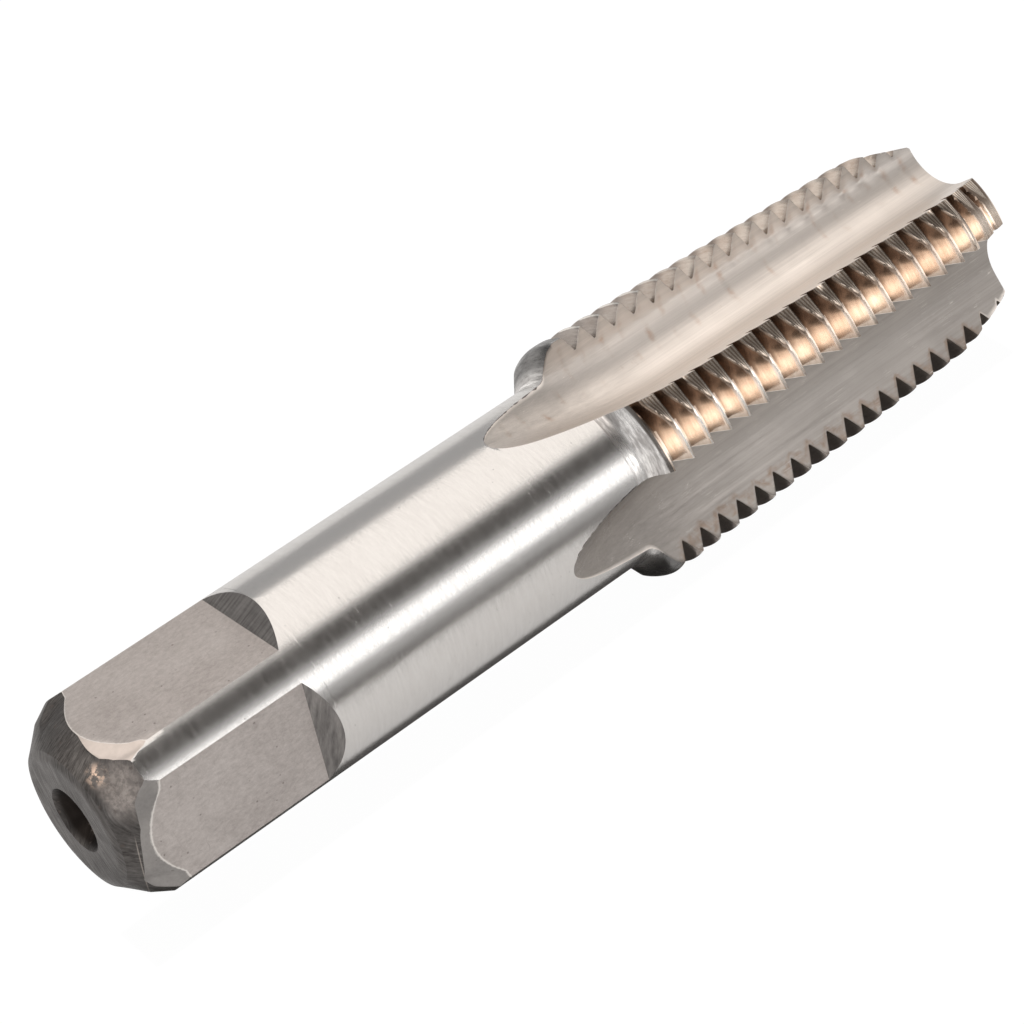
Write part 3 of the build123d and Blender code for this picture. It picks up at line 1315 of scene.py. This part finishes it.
LOOKS = {
    Finish.GROUND_SHANK: SteelLook(
        (0.67, 0.65, 0.63, 1), (0.60, 0.575, 0.555, 1), 0.21, 0.08, (12.0, 1.6, 1.6), 0.44, 0.006,
        pits=0.35, pit_size=0.05, scratches=0.08, scratch_stretch=(0.4, 5.0, 5.0)),
    Finish.TURNED_COLLAR: SteelLook(
        (0.95, 0.92, 0.89, 1), (0.40, 0.375, 0.36, 1), 0.24, 0.10, (5.0, 0.5, 0.5), 0.9, 0.012, blotch=0.4,
        pits=0.3, pit_size=0.06),
    Finish.MILLED_FLAT: SteelLook(
        (0.555, 0.51, 0.485, 1), (0.40, 0.36, 0.34, 1), 0.46, 0.08, (6.0, 11.0, 11.0), 0.55, 0.010,
        blotch=0.30, pits=0.55, pit_size=0.07, scratches=0.8, scratch_stretch=(1.6, 0.5, 0.5),
        edge_width=0.09, edge_color=(0.80, 0.76, 0.72, 1.0)),
    # painted shade: the shoulders' steel is coloured darker than the flats
    Finish.MILLED_SHOULDER: SteelLook(
        (0.33, 0.31, 0.295, 1), (0.15, 0.14, 0.135, 1), 0.42, 0.08, (7.0, 1.2, 1.2), 0.55, 0.012,
        blotch=0.25, scratches=0.3, scratch_stretch=(6.0, 0.3, 6.0)),
    # painted shade: the end face's steel is coloured far darker than the shank
    Finish.TURNED_END: SteelLook(
        (0.17, 0.158, 0.15, 1), (0.045, 0.04, 0.038, 1), 0.44, 0.10, (1.0, 1.0, 1.0), 0.65, 0.02,
        blotch=0.35, pits=0.6, pit_size=0.12),
    Finish.HAND_BEVEL: SteelLook(
        (0.66, 0.58, 0.53, 1), (0.50, 0.44, 0.40, 1), 0.40, 0.06, (1.5, 1.5, 1.5), 0.30, 0.006, blotch=0.15),
    # painted shade: the same worn bevel, coloured darker on the side that lies in shadow
    Finish.WORN_SHADED_BEVEL: SteelLook(
        (0.36, 0.34, 0.325, 1), (0.26, 0.245, 0.235, 1), 0.42, 0.08, (3.0, 3.0, 3.0), 0.35, 0.008, blotch=0.3,
        pits=0.5, pit_size=0.08, edge_width=0.09, edge_color=(0.80, 0.76, 0.72, 1.0)),
    Finish.GROUND_FLUTE: SteelLook(
        (0.97, 0.885, 0.815, 1), (0.77, 0.705, 0.65, 1), 0.42, 0.08, (0.10, 9.0, 9.0), 0.5, 0.008,
        anisotropy=0.6, blotch=0.16, scratches=0.6, scratch_stretch=(0.12, 9.0, 9.0), stain=0.7),
    Finish.THREAD_LAND: SteelLook(
        (0.44, 0.40, 0.37, 1), (0.27, 0.24, 0.22, 1), 0.20, 0.06, (8.0, 0.5, 0.5), 0.5, 0.006,
        blotch=0.3, edge_width=0.035, edge_color=(0.92, 0.86, 0.79, 1.0), stain=0.4),
    Finish.TIP_FACE: SteelLook(
        (0.50, 0.46, 0.43, 1), (0.32, 0.29, 0.27, 1), 0.40, 0.08, (1.0, 4.0, 4.0), 0.45, 0.01, blotch=0.25),
}


class FinishShop:
    """Builds the shared shader groups once, and a material for each finish."""

    wedge_stripes: float = 4.0
    worn_corner: tuple = (-29.45, -2.75, 3.55)
    glint: tuple = (-29.7, -1.7, 3.75)

    def __init__(self) -> None:
        """Builds the shared groups."""
        self.marks = self.marks_group()
        self.specks = self.specks_group()
        self.lines = self.lines_group()
        self.edges = self.edges_group()
        self.stain = self.stain_group()

    @staticmethod
    def place(w: Wiring) -> Socket:
        """Returns the surface point in mm, about the tap's axis."""
        spot = w.vector("SCALE", w.node("ShaderNodeTexCoord").outputs["Object"], scale=1000.0)
        return w.vector("SUBTRACT", spot, (0.0, 0.0, REST_HEIGHT))

    def marks_group(self) -> bpy.types.NodeTree:
        """Builds tool marks: fine lines stretched along one direction, with a broad unevenness.

        Returns:
            The group.
        """
        tree, w, start, stop = new_group(
            "ToolMarks", "ShaderNodeTree",
            [("Stretch", "NodeSocketVector", (1.0, 1.0, 1.0)), ("Swing", "NodeSocketFloat", 0.5),
             ("Blotch", "NodeSocketFloat", 0.1)],
            [("Marks", "NodeSocketFloat"), ("Fine", "NodeSocketFloat")])
        spot = self.place(w)
        drawn = w.vector("MULTIPLY", spot, start.outputs["Stretch"])
        broad, fine = w.noise(drawn, 0.5, 3.0, 0.6), w.noise(drawn, 2.2, 4.0, 0.7)
        both = w.plus(w.times(broad, 0.5), w.times(fine, 0.5))
        wide = w.minus(w.noise(spot, 0.35, 4.0, 0.6, 0.4), 0.5)
        swung = w.times(w.minus(both, 0.5), w.times(start.outputs["Swing"], 5.0))
        swung = w.plus(swung, w.times(wide, w.times(start.outputs["Blotch"], 4.0)))
        w.feed(stop, "Marks", w.plus(swung, 0.5, clamp=True))
        w.feed(stop, "Fine", fine)
        return tree

    def specks_group(self) -> bpy.types.NodeTree:
        """Builds small dark pits and specks, thinned out at random.

        Returns:
            The group.
        """
        tree, w, start, stop = new_group(
            "Pits", "ShaderNodeTree",
            [("Size", "NodeSocketFloat", 0.08), ("Share", "NodeSocketFloat", 0.5)],
            [("Mask", "NodeSocketFloat")])
        spot = self.place(w)
        cells = w.node("ShaderNodeTexVoronoi", feature="F1")
        w.feed(cells, "Vector", spot)
        cells_per_mm = 1.7
        w.feed(cells, "Scale", cells_per_mm)
        near = w.math("DIVIDE", cells.outputs["Distance"], cells_per_mm)
        grown = w.times(start.outputs["Size"], w.math("MULTIPLY_ADD", w.noise(spot, 9.0, 2.0), 1.6, 0.2))
        dot = w.minus(1.0, w.math("DIVIDE", near, grown), clamp=True)
        pick = w.node("ShaderNodeSeparateColor")
        w.feed(pick, 0, cells.outputs["Color"])
        chosen = w.math("LESS_THAN", pick.outputs[0], start.outputs["Share"])
        w.feed(stop, "Mask", w.times(w.times(dot, 2.0, clamp=True), chosen))
        return tree

    def lines_group(self) -> bpy.types.NodeTree:
        """Builds sparse thin scratches that run along one direction.

        Returns:
            The group.
        """
        tree, w, start, stop = new_group(
            "Scratches", "ShaderNodeTree", [("Stretch", "NodeSocketVector", (1.0, 1.0, 1.0))],
            [("Mask", "NodeSocketFloat")])
        spot = self.place(w)
        drawn = w.vector("MULTIPLY", spot, start.outputs["Stretch"])
        thin = w.noise(drawn, 1.3, 1.0, 0.4)
        line = w.ramp(w.math("ABSOLUTE", w.minus(thin, 0.5)), 0.0, 0.012, 1.0, 0.0)
        part = w.ramp(w.noise(spot, 0.8, 2.0), 0.52, 0.62)
        w.feed(stop, "Mask", w.times(line, part))
        return tree

    def edges_group(self) -> bpy.types.NodeTree:
        """Builds pale edge lines, worn bright edges with a painted highlight, from the stored distance to the
        nearest sharp edge.

        Returns:
            The group.
        """
        tree, w, start, stop = new_group(
            "EdgeWearAndHighlight", "ShaderNodeTree", [("Width", "NodeSocketFloat", 0.05)], [("Mask", "NodeSocketFloat")])
        away = w.times(w.attribute("edge"), 1000.0)
        uneven = w.math("MULTIPLY_ADD", w.noise(self.place(w), 5.0, 3.0), 2.4, -0.2)
        ragged = w.times(start.outputs["Width"], uneven)
        mask = w.minus(1.0, w.math("DIVIDE", away, w.math("MAXIMUM", ragged, 0.001)), clamp=True)
        w.feed(stop, "Mask", mask)
        return tree

    def stain_group(self) -> bpy.types.NodeTree:
        """Builds the brown stain's ragged mask from the stored stain map.

        Returns:
            The group.
        """
        tree, w, start, stop = new_group(
            "BrownStain", "ShaderNodeTree", [("Amount", "NodeSocketFloat", 1.0)],
            [("Mask", "NodeSocketFloat")])
        stored = w.attribute("stain")
        cloud = w.noise(self.place(w), 1.8, 5.0, 0.65, 0.5)
        mask = w.ramp(w.plus(stored, w.times(w.minus(cloud, 0.5), 1.1)), 0.25, 0.95)
        w.feed(stop, "Mask", w.times(mask, w.times(start.outputs["Amount"], w.ramp(stored, 0.0, 0.1))))
        return tree

    def material(self, kind: Finish) -> bpy.types.Material:
        """Builds the material of one finish.

        Args:
            kind: The finish.

        Returns:
            The material.
        """
        look = LOOKS[kind]
        made = bpy.data.materials.new(kind.name.lower())
        made.use_nodes = True
        made.node_tree.nodes.clear()
        w = Wiring(made.node_tree)
        out = w.node("ShaderNodeOutputMaterial")
        steel = w.node("ShaderNodeBsdfPrincipled")
        w.feed(steel, "Metallic", 1.0)
        marks = w.use(self.marks, Stretch=look.stretch, Swing=look.swing, Blotch=look.blotch)
        height, value = marks.outputs["Fine"], marks.outputs["Marks"]
        if kind is Finish.TURNED_END:
            value, height = self.turned(w, marks)
        if kind is Finish.MILLED_SHOULDER:
            value, height = self.milled(w, marks)
        color = w.blend(value, look.dark, look.bright)
        if kind is Finish.THREAD_LAND:
            color, ridges = self.thread_color(w, value, color)
            height = w.plus(height, ridges)
        if kind is Finish.GROUND_FLUTE:
            color = self.copper_dashes(w, color)
        if kind in (Finish.GROUND_FLUTE, Finish.TURNED_COLLAR):
            # painted shade and reflection: the stored tone darkens and brightens the flutes and the collar
            tone = w.attribute("tone")
            color = w.blend(1.0, color, w.join(tone, tone, tone), "MULTIPLY")
        if kind is Finish.TURNED_COLLAR:
            # painted shade in the first groove's gap
            first_gap_shade = w.ramp(w.attribute("wound"), -0.60, -0.55, 0.0, 0.8)
            color = w.blend(first_gap_shade, color, (0.09, 0.07, 0.055, 1))
        if kind in (Finish.GROUND_FLUTE, Finish.GROUND_SHANK):
            color = w.blend(self.burr_line(w), color, (0.07, 0.05, 0.045, 1))
        if kind is Finish.TURNED_END:
            color = self.drilled(w, color)
        if look.stain:
            color = w.blend(w.use(self.stain, Amount=look.stain).outputs[0], color, look.stain_color)
        if look.scratches:
            lines = w.use(self.lines, Stretch=look.scratch_stretch)
            color = w.blend(w.times(lines.outputs[0], look.scratches), color, look.dark)
        if look.pits:
            pits = w.use(self.specks, Size=look.pit_size, Share=0.5)
            color = w.blend(w.times(pits.outputs[0], look.pits), color, (0.12, 0.10, 0.09, 1))
            height = w.minus(height, w.times(pits.outputs[0], 0.6 * look.pits))
        if look.edge_width:
            # pale edge lines: worn bright edges with a painted highlight
            color = w.blend(w.use(self.edges, Width=look.edge_width).outputs[0], color, look.edge_color)
        w.feed(steel, "Base Color", color)
        rough, smooth = look.roughness + look.rough_swing, look.roughness - look.rough_swing
        w.feed(steel, "Roughness", w.ramp(value, 0.0, 1.0, rough, smooth, "LINEAR"))
        if look.anisotropy:
            w.feed(steel, "Anisotropic", look.anisotropy)
            round_axis = w.node("ShaderNodeTangent", direction_type="RADIAL", axis="X")
            w.feed(steel, "Tangent", round_axis.outputs[0])
        bump = w.node("ShaderNodeBump")
        w.feed(bump, "Strength", 0.7)
        w.feed(bump, "Distance", look.bump * MM)
        w.feed(bump, "Height", height)
        w.feed(steel, "Normal", bump.outputs[0])
        w.feed(out, "Surface", steel.outputs[0])
        return made

    def turned(self, w: Wiring, marks: bpy.types.Node) -> tuple:
        """Adds the end face's marks: arcs left by the last cut, all curving the same way.

        Args:
            w: The material's wiring.
            marks: The shared tool marks.

        Returns:
            Sockets for tone and height.
        """
        x, y, z = w.split(self.place(w))
        over = w.plus(y, z)
        curved = w.plus(w.minus(y, w.times(z, 0.75)), w.times(w.times(over, over), 0.035))
        arcs = w.noise(w.join(w.times(curved, 8.0), w.times(over, 0.35), w.times(x, 1.5)), 1.2, 3.0, 0.7)
        deep = w.times(w.minus(arcs, 0.5), 1.9)
        tone = w.plus(w.times(marks.outputs["Marks"], 0.35), w.plus(deep, 0.32), clamp=True)
        return tone, arcs

    def drilled(self, w: Wiring, color: Socket) -> Socket:
        """Paints shade into the centre hole, adds torn chips in it, roughens the worn corner beside it and
        paints a glint there.

        Args:
            w: The material's wiring.
            color: The colour so far.

        Returns:
            The colour socket.
        """
        spot = self.place(w)
        x, y, z = w.split(spot)
        from_axis = w.vector("LENGTH", w.join(0.0, y, z))
        depth = w.plus(x, LENGTH / 2)
        # painted shade inside the centre hole
        hole_shade = w.times(w.ramp(from_axis, 1.95, 1.60), w.ramp(depth, 0.0, 0.40, 0.45, 1.0))
        color = w.blend(w.times(hole_shade, 0.95), color, (0.018, 0.014, 0.012, 1))
        chips = w.ramp(w.noise(spot, 3.4, 4.0, 0.7, 0.6), 0.50, 0.60)
        torn = w.times(chips, w.times(w.ramp(from_axis, 1.5, 1.1), w.ramp(depth, 0.5, 1.0)))
        torn = w.times(torn, w.ramp(y, 0.6, -0.4))
        color = w.blend(w.times(torn, 0.9), color, (0.95, 0.84, 0.74, 1))
        corner = w.vector("SUBTRACT", spot, self.worn_corner)
        near = w.ramp(w.plus(w.vector("LENGTH", corner), w.times(w.noise(spot, 1.2, 3.0), 1.2)), 2.6, 1.0)
        near = w.times(near, w.ramp(depth, 0.25, 0.7))
        patchy = w.ramp(w.noise(spot, 4.0, 4.0, 0.7), 0.35, 0.65)
        rough = w.blend(patchy, (0.26, 0.23, 0.212, 1), (0.42, 0.37, 0.338, 1))
        color = w.blend(near, color, rough)
        # one long scratch below that corner
        thin = w.math("ABSOLUTE", w.minus(w.plus(x, w.times(y, -0.62)), -27.28))
        line = w.times(w.ramp(thin, 0.0, 0.05, 0.45, 0.0), w.ramp(z, 1.6, 0.6))
        color = w.blend(w.times(line, w.ramp(y, -2.2, -2.8)), color, (0.62, 0.55, 0.49, 1))
        # painted glint near the worn corner
        spark = w.vector("SUBTRACT", spot, self.glint)
        glint_mask = w.ramp(w.vector("LENGTH", spark), 0.75, 0.1)
        glint_mask = w.times(glint_mask, w.ramp(w.noise(spot, 3.0, 3.0, 0.7), 0.45, 0.6))
        return w.blend(glint_mask, color, (1.0, 0.74, 0.58, 1))

    def burr_line(self, w: Wiring) -> Socket:
        """Draws the fine dark burr along the cutting edges of the run-out.

        Args:
            w: The material's wiring.

        Returns:
            The mask socket.
        """
        away = w.times(w.attribute("edge"), 1000.0)
        ragged = w.ramp(w.noise(self.place(w), 3.0, 4.0, 0.7), 0.35, 0.7, 0.0, 0.09)
        line = w.ramp(w.minus(away, ragged), -0.02, 0.02, 1.0, 0.0)
        return w.times(line, w.times(w.attribute("burr"), 0.9))

    def milled(self, w: Wiring, marks: bpy.types.Node) -> tuple:
        """Adds the shoulder's slanting cutter lines.

        Args:
            w: The material's wiring.
            marks: The shared tool marks.

        Returns:
            Sockets for tone and height.
        """
        x, y, z = w.split(self.place(w))
        cuts = w.noise(w.join(w.plus(w.times(x, 3.0), w.times(y, 9.0)), w.times(z, 0.6), 0.0), 0.8, 3.0, 0.6)
        tone = w.plus(w.times(marks.outputs["Marks"], 0.4), w.times(w.minus(cuts, 0.42), 2.0), clamp=True)
        return tone, cuts

    def copper_dashes(self, w: Wiring, color: Socket) -> Socket:
        """Adds faint coppery marks on the cutting faces, one for each thread, left by chips.

        Args:
            w: The material's wiring.
            color: The colour so far.

        Returns:
            The colour socket.
        """
        section = w.attribute("section")
        off = w.math("ABSOLUTE", w.minus(w.math("FRACT", w.plus(w.attribute("wound"), 0.25)), 0.5))
        band = w.times(w.ramp(off, 0.0, 0.22, 1.0, 0.0), w.ramp(section, 0.03, 0.1))
        band = w.times(band, w.ramp(section, 0.28, 0.45, 1.0, 0.0))
        patchy = w.ramp(w.noise(self.place(w), 1.6, 4.0, 0.65), 0.40, 0.66)
        broken = w.ramp(w.noise(self.place(w), 0.7, 2.0), 0.42, 0.62)
        band = w.times(band, broken)
        soft = w.blend(w.times(band, 0.16), color, (0.44, 0.38, 0.34, 1))
        return w.blend(w.times(w.times(band, patchy), 0.5), soft, (0.66, 0.40, 0.26, 1))

    def thread_color(self, w: Wiring, value: Socket, plain: Socket) -> tuple:
        """Colours the threaded lands: roots darkened with painted shade, golden flanks with a painted
        highlight band, pale crests that are partly painted highlight, and striped wedges.

        Args:
            w: The material's wiring.
            value: The tool marks' tone.
            plain: Colour of a land that has no golden tint.

        Returns:
            Sockets for the colour and for the height of the stripes.
        """
        across, relief = w.attribute("across"), w.attribute("relief")
        groove = w.times(w.attribute("groove"), 1000.0)
        down = w.minus(1.0, w.math("FRACT", w.plus(w.attribute("wound"), 0.5)))
        crest = w.math("MINIMUM", down, w.minus(1.0, down))
        # painted light across each land: dark brown painted shade on the heel side, rising to a bright cream
        # painted highlight near the cutting edge, over a warm tint
        gold_and_highlight = w.times(w.ramp(across, 0.38, 0.74), w.ramp(across, 1.02, 0.84, 0.35, 1.0))
        shaded_brown = w.blend(value, (0.19, 0.138, 0.108, 1), (0.38, 0.285, 0.222, 1))
        bright = w.blend(value, (0.80, 0.61, 0.48, 1), (1.0, 0.88, 0.76, 1))
        color = w.blend(w.attribute("gold_and_highlight"), plain, w.blend(gold_and_highlight, shaded_brown, bright))
        # painted shade in the groove roots
        root = w.times(w.ramp(groove, 0.75, 1.03), w.ramp(across, 0.9, 0.3, 0.15, 0.55))
        color = w.blend(root, color, (0.15, 0.095, 0.06, 1))
        width = w.times(relief, w.math("MULTIPLY_ADD", w.noise(self.place(w), 1.5, 2.0), 0.12, 0.47))
        near = w.ramp(w.minus(width, down), 0.0, 0.10)
        fan = w.math("DIVIDE", down, w.math("MAXIMUM", width, 0.08))
        stripe = w.ramp(w.math("SINE", w.times(fan, 2 * pi * self.wedge_stripes)), -0.6, 0.5)
        pale = w.blend(stripe, (0.55, 0.43, 0.34, 1), (1.0, 0.88, 0.76, 1))
        shown = w.times(near, w.ramp(relief, 0.05, 0.45, 0.0, 0.9))
        color = w.blend(shown, color, pale)
        # painted shade on the wedge's far edge, so that it doesn't glint
        ridge = w.ramp(w.math("ABSOLUTE", w.minus(fan, 1.0)), 0.0, 0.20, 0.75, 0.0)
        ridge = w.times(ridge, w.ramp(relief, 0.02, 0.30))
        color = w.blend(ridge, color, (0.28, 0.21, 0.16, 1))
        # pale crest lines: bright burrs, partly painted highlight, fading toward the tip
        ragged = w.times(w.noise(self.place(w), 4.0, 3.0), 0.05)
        thin = w.ramp(w.minus(crest, ragged), -0.004, 0.018, 1.0, 0.0)
        thin = w.times(thin, w.ramp(w.split(self.place(w))[0], 8.0, 18.0, 0.85, 0.12))
        thin = w.times(thin, w.ramp(relief, 0.0, 0.5, 1.0, 0.3))
        color = w.blend(thin, color, (0.95, 0.90, 0.84, 1))
        return color, w.times(w.times(stripe, shown), 0.7)

    def all(self) -> dict:
        """Returns one material for each Finish."""
        return {kind: self.material(kind) for kind in Finish}


# ---------------------------------------------------------------- studio


@dataclass(frozen=True)
class LightPanel:
    """A long soft light or card, lying along the tap at an angle round it."""

    name: str
    middle: float
    spread: float
    distance: float
    length: float
    radiance: float
    color: tuple = (1.0, 1.0, 1.0)

    def width(self) -> float:
        """Returns the panel's size across the tap."""
        return 2 * self.distance * tan(radians(self.spread / 2))


@dataclass
class Studio:
    """Floor, lamps, cards and camera."""

    target: tuple = (0.0, 0.0, 0.006)
    panels: tuple = (
        LightPanel("overhead_softbox", 71.0, 66.0, 0.36, 1.1, 0.95, (1.0, 0.945, 0.89)),
        LightPanel("side_strip", 150.0, 20.0, 0.36, 1.1, 1.5),
    )
    end_size: tuple = (0.42, 0.16)
    end_place: tuple = (-0.45, -0.10, 0.03)
    end_radiance: float = 0.75
    card: LightPanel = LightPanel("dark_card", 120.0, 22.0, 0.34, 1.2, 0.0)
    floor_size: float = 3.0
    floor_gap: float = 0.00002
    shadow_card_size: tuple = (0.062, 0.0031)
    shadow_card_place: tuple = (0.0, -0.0038, 0.00001)
    low_size: tuple = (0.5, 0.016)
    low_place: tuple = (0.1, -0.085, 0.009)
    world_gray: float = 0.48
    lens: float = 106.475
    eye: tuple = (-72.237, -90.536, 114.254)
    right: tuple = (0.7408297, -0.6668658, -0.0803824)
    up: tuple = (0.5026315, 0.4709985, 0.7249289)
    back: tuple = (-0.4455703, -0.5774516, 0.6841175)

    def panel_place(self, panel: LightPanel) -> Matrix:
        """Faces a panel at the tap, with its long side along the tap.

        Args:
            panel: The panel.

        Returns:
            Its place and turn.
        """
        turn = radians(panel.middle)
        toward = Vector((0.0, -cos(turn), -sin(turn)))
        along = Vector((1.0, 0.0, 0.0))
        place = Matrix((along, toward.cross(along) * -1, -toward)).transposed().to_4x4()
        place.translation = Vector(self.target) - toward * panel.distance + along * panel.distance * 0.5
        return place

    @staticmethod
    def hang(name: str, size: tuple, radiance: float, color: tuple, place: Matrix) -> None:
        """Hangs one lamp.

        Args:
            name: The lamp's name.
            size: Its two sides in metres.
            radiance: Its brightness as seen, the same for every size.
            color: Its colour.
            place: Its place and turn.
        """
        lamp = bpy.data.lights.new(name, "AREA")
        lamp.shape = "RECTANGLE"
        lamp.size, lamp.size_y = size
        lamp.energy = radiance * pi * lamp.size * lamp.size_y
        lamp.color = color
        stand = bpy.data.objects.new(name, lamp)
        stand.matrix_world = place
        bpy.context.scene.collection.objects.link(stand)

    def lights(self) -> None:
        """Hangs the long panels and the panel that faces the drive end."""
        for panel in self.panels:
            size = panel.length, panel.width()
            self.hang(panel.name, size, panel.radiance, panel.color, self.panel_place(panel))
        facing = Matrix(((0, 0, -1), (1, 0, 0), (0, -1, 0))).to_4x4()
        facing.translation = Vector(self.end_place)
        self.hang("end_panel", self.end_size, self.end_radiance, (1.0, 1.0, 1.0), facing)

    @staticmethod
    def sheet(name: str, size: tuple, material: bpy.types.Material) -> bpy.types.Object:
        """Makes a flat sheet that isn't part of the object.

        Args:
            name: The sheet's name.
            size: Its sizes along x and y in metres.
            material: What it is made of.

        Returns:
            The staged sheet.
        """
        mesh = bpy.data.meshes.new(name)
        x, y = size[0] / 2, size[1] / 2
        mesh.from_pydata([(-x, -y, 0), (x, -y, 0), (x, y, 0), (-x, y, 0)], [], [(0, 1, 2, 3)])
        mesh.materials.append(material)
        made = bpy.data.objects.new(name, mesh)
        bpy.context.scene.collection.objects.link(made)
        return made

    @staticmethod
    def card_paint(name: str, color: tuple) -> bpy.types.Material:
        """Makes a card's matte paint.

        Args:
            name: The material's name.
            color: Its colour.

        Returns:
            The material.
        """
        paint = bpy.data.materials.new(name)
        paint.use_nodes = True
        surface = paint.node_tree.nodes["Principled BSDF"]
        surface.inputs["Base Color"].default_value = color
        surface.inputs["Roughness"].default_value = 0.9
        return paint

    def floor(self) -> None:
        """Lays the pale floor, which keeps the object's shadow and is white to the camera."""
        paint = bpy.data.materials.new("pale_floor")
        paint.use_nodes = True
        paint.node_tree.nodes.clear()
        w = Wiring(paint.node_tree)
        kinds = ("ShaderNodeOutputMaterial", "ShaderNodeBsdfDiffuse", "ShaderNodeEmission",
                 "ShaderNodeMixShader")
        out, matte, glow, mix = (w.node(kind) for kind in kinds)
        w.feed(matte, "Color", (0.86, 0.86, 0.86, 1))
        w.feed(glow, "Strength", 1.05)
        path = w.node("ShaderNodeLightPath")
        w.feed(mix, 0, w.plus(w.times(path.outputs["Is Camera Ray"], 0.93),
                              w.times(path.outputs["Is Glossy Ray"], 0.35)))
        w.feed(mix, 1, matte.outputs[0])
        w.feed(mix, 2, glow.outputs[0])
        w.feed(out, 0, mix.outputs[0])
        self.sheet("floor", (self.floor_size, self.floor_size), paint).location = (0, 0, -self.floor_gap)

    def cards(self) -> None:
        """Hangs the dark card beside the camera, a low grey card that the lower side mirrors, and a grey card
        under the tap that stands in for its contact shadow, a painted shadow that the lower side mirrors.
        """
        black = self.card_paint("black_card", (0.10, 0.094, 0.090, 1))
        card = self.sheet(self.card.name, (self.card.length, self.card.width()), black)
        card.matrix_world = self.panel_place(self.card)
        gray = self.card_paint("gray_card", (0.20, 0.195, 0.19, 1))
        # painted shadow: a grey card under the tap, seen only in reflections
        under = self.sheet("painted_shadow_card", self.shadow_card_size, gray)
        under.location = self.shadow_card_place
        low = self.sheet("low_card", self.low_size, gray)
        low.rotation_euler = (pi / 2, 0, 0)
        low.location = self.low_place
        for sheet in (card, under, low):
            sheet.visible_camera = False
        for sheet in (under, low):
            sheet.visible_shadow = False
        low.visible_diffuse = False

    def world(self) -> None:
        """Gives the room a soft grey, white to the camera."""
        room = bpy.data.worlds.new("room")
        bpy.context.scene.world = room
        room.use_nodes = True
        room.node_tree.nodes.clear()
        w = Wiring(room.node_tree)
        out, sky, path = (w.node(kind) for kind in (
            "ShaderNodeOutputWorld", "ShaderNodeBackground", "ShaderNodeLightPath"))
        w.feed(sky, "Color", (1.0, 1.0, 1.0, 1.0))
        seen = path.outputs["Is Camera Ray"]
        w.feed(sky, "Strength", w.ramp(seen, 0.0, 1.0, self.world_gray, 1.0, "LINEAR"))
        w.feed(out, 0, sky.outputs[0])

    def camera(self) -> None:
        """Sets the camera at the photograph's angle."""
        lens = bpy.data.cameras.new("camera")
        lens.lens = self.lens
        lens.sensor_width = 36.0
        lens.clip_start = 0.005
        lens.clip_end = 10.0
        eye = bpy.data.objects.new("camera", lens)
        place = Matrix((self.right, self.up, self.back)).transposed().to_4x4()
        place.translation = Vector(self.eye) * MM
        eye.matrix_world = place
        bpy.context.scene.collection.objects.link(eye)
        bpy.context.scene.camera = eye

    def build(self) -> None:
        """Sets up the whole studio."""
        self.floor()
        self.cards()
        self.lights()
        self.world()
        self.camera()
        bpy.context.scene.view_settings.view_transform = "Standard"


def main() -> None:
    """Builds the studio and the tap, and says what each piece is."""
    Studio().build()
    log.info("studio: floor, softbox, strip, end panel, dark and grey cards, and camera")
    surface = TapSurface()
    log.info("flute run-out starts at %.2f mm, %.1f degrees", surface.tip_x, surface.tip_angle)
    body = TapBody(surface, FinishShop().all()).build()
    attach(body, "root")
    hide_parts("thread_tap")
    mesh = body.data
    triangles = sum(len(face.vertices) - 2 for face in mesh.polygons)
    log.info("%s: %d points, %d triangles", body.name, len(mesh.vertices), triangles)


if __name__ == "__main__":
    main()
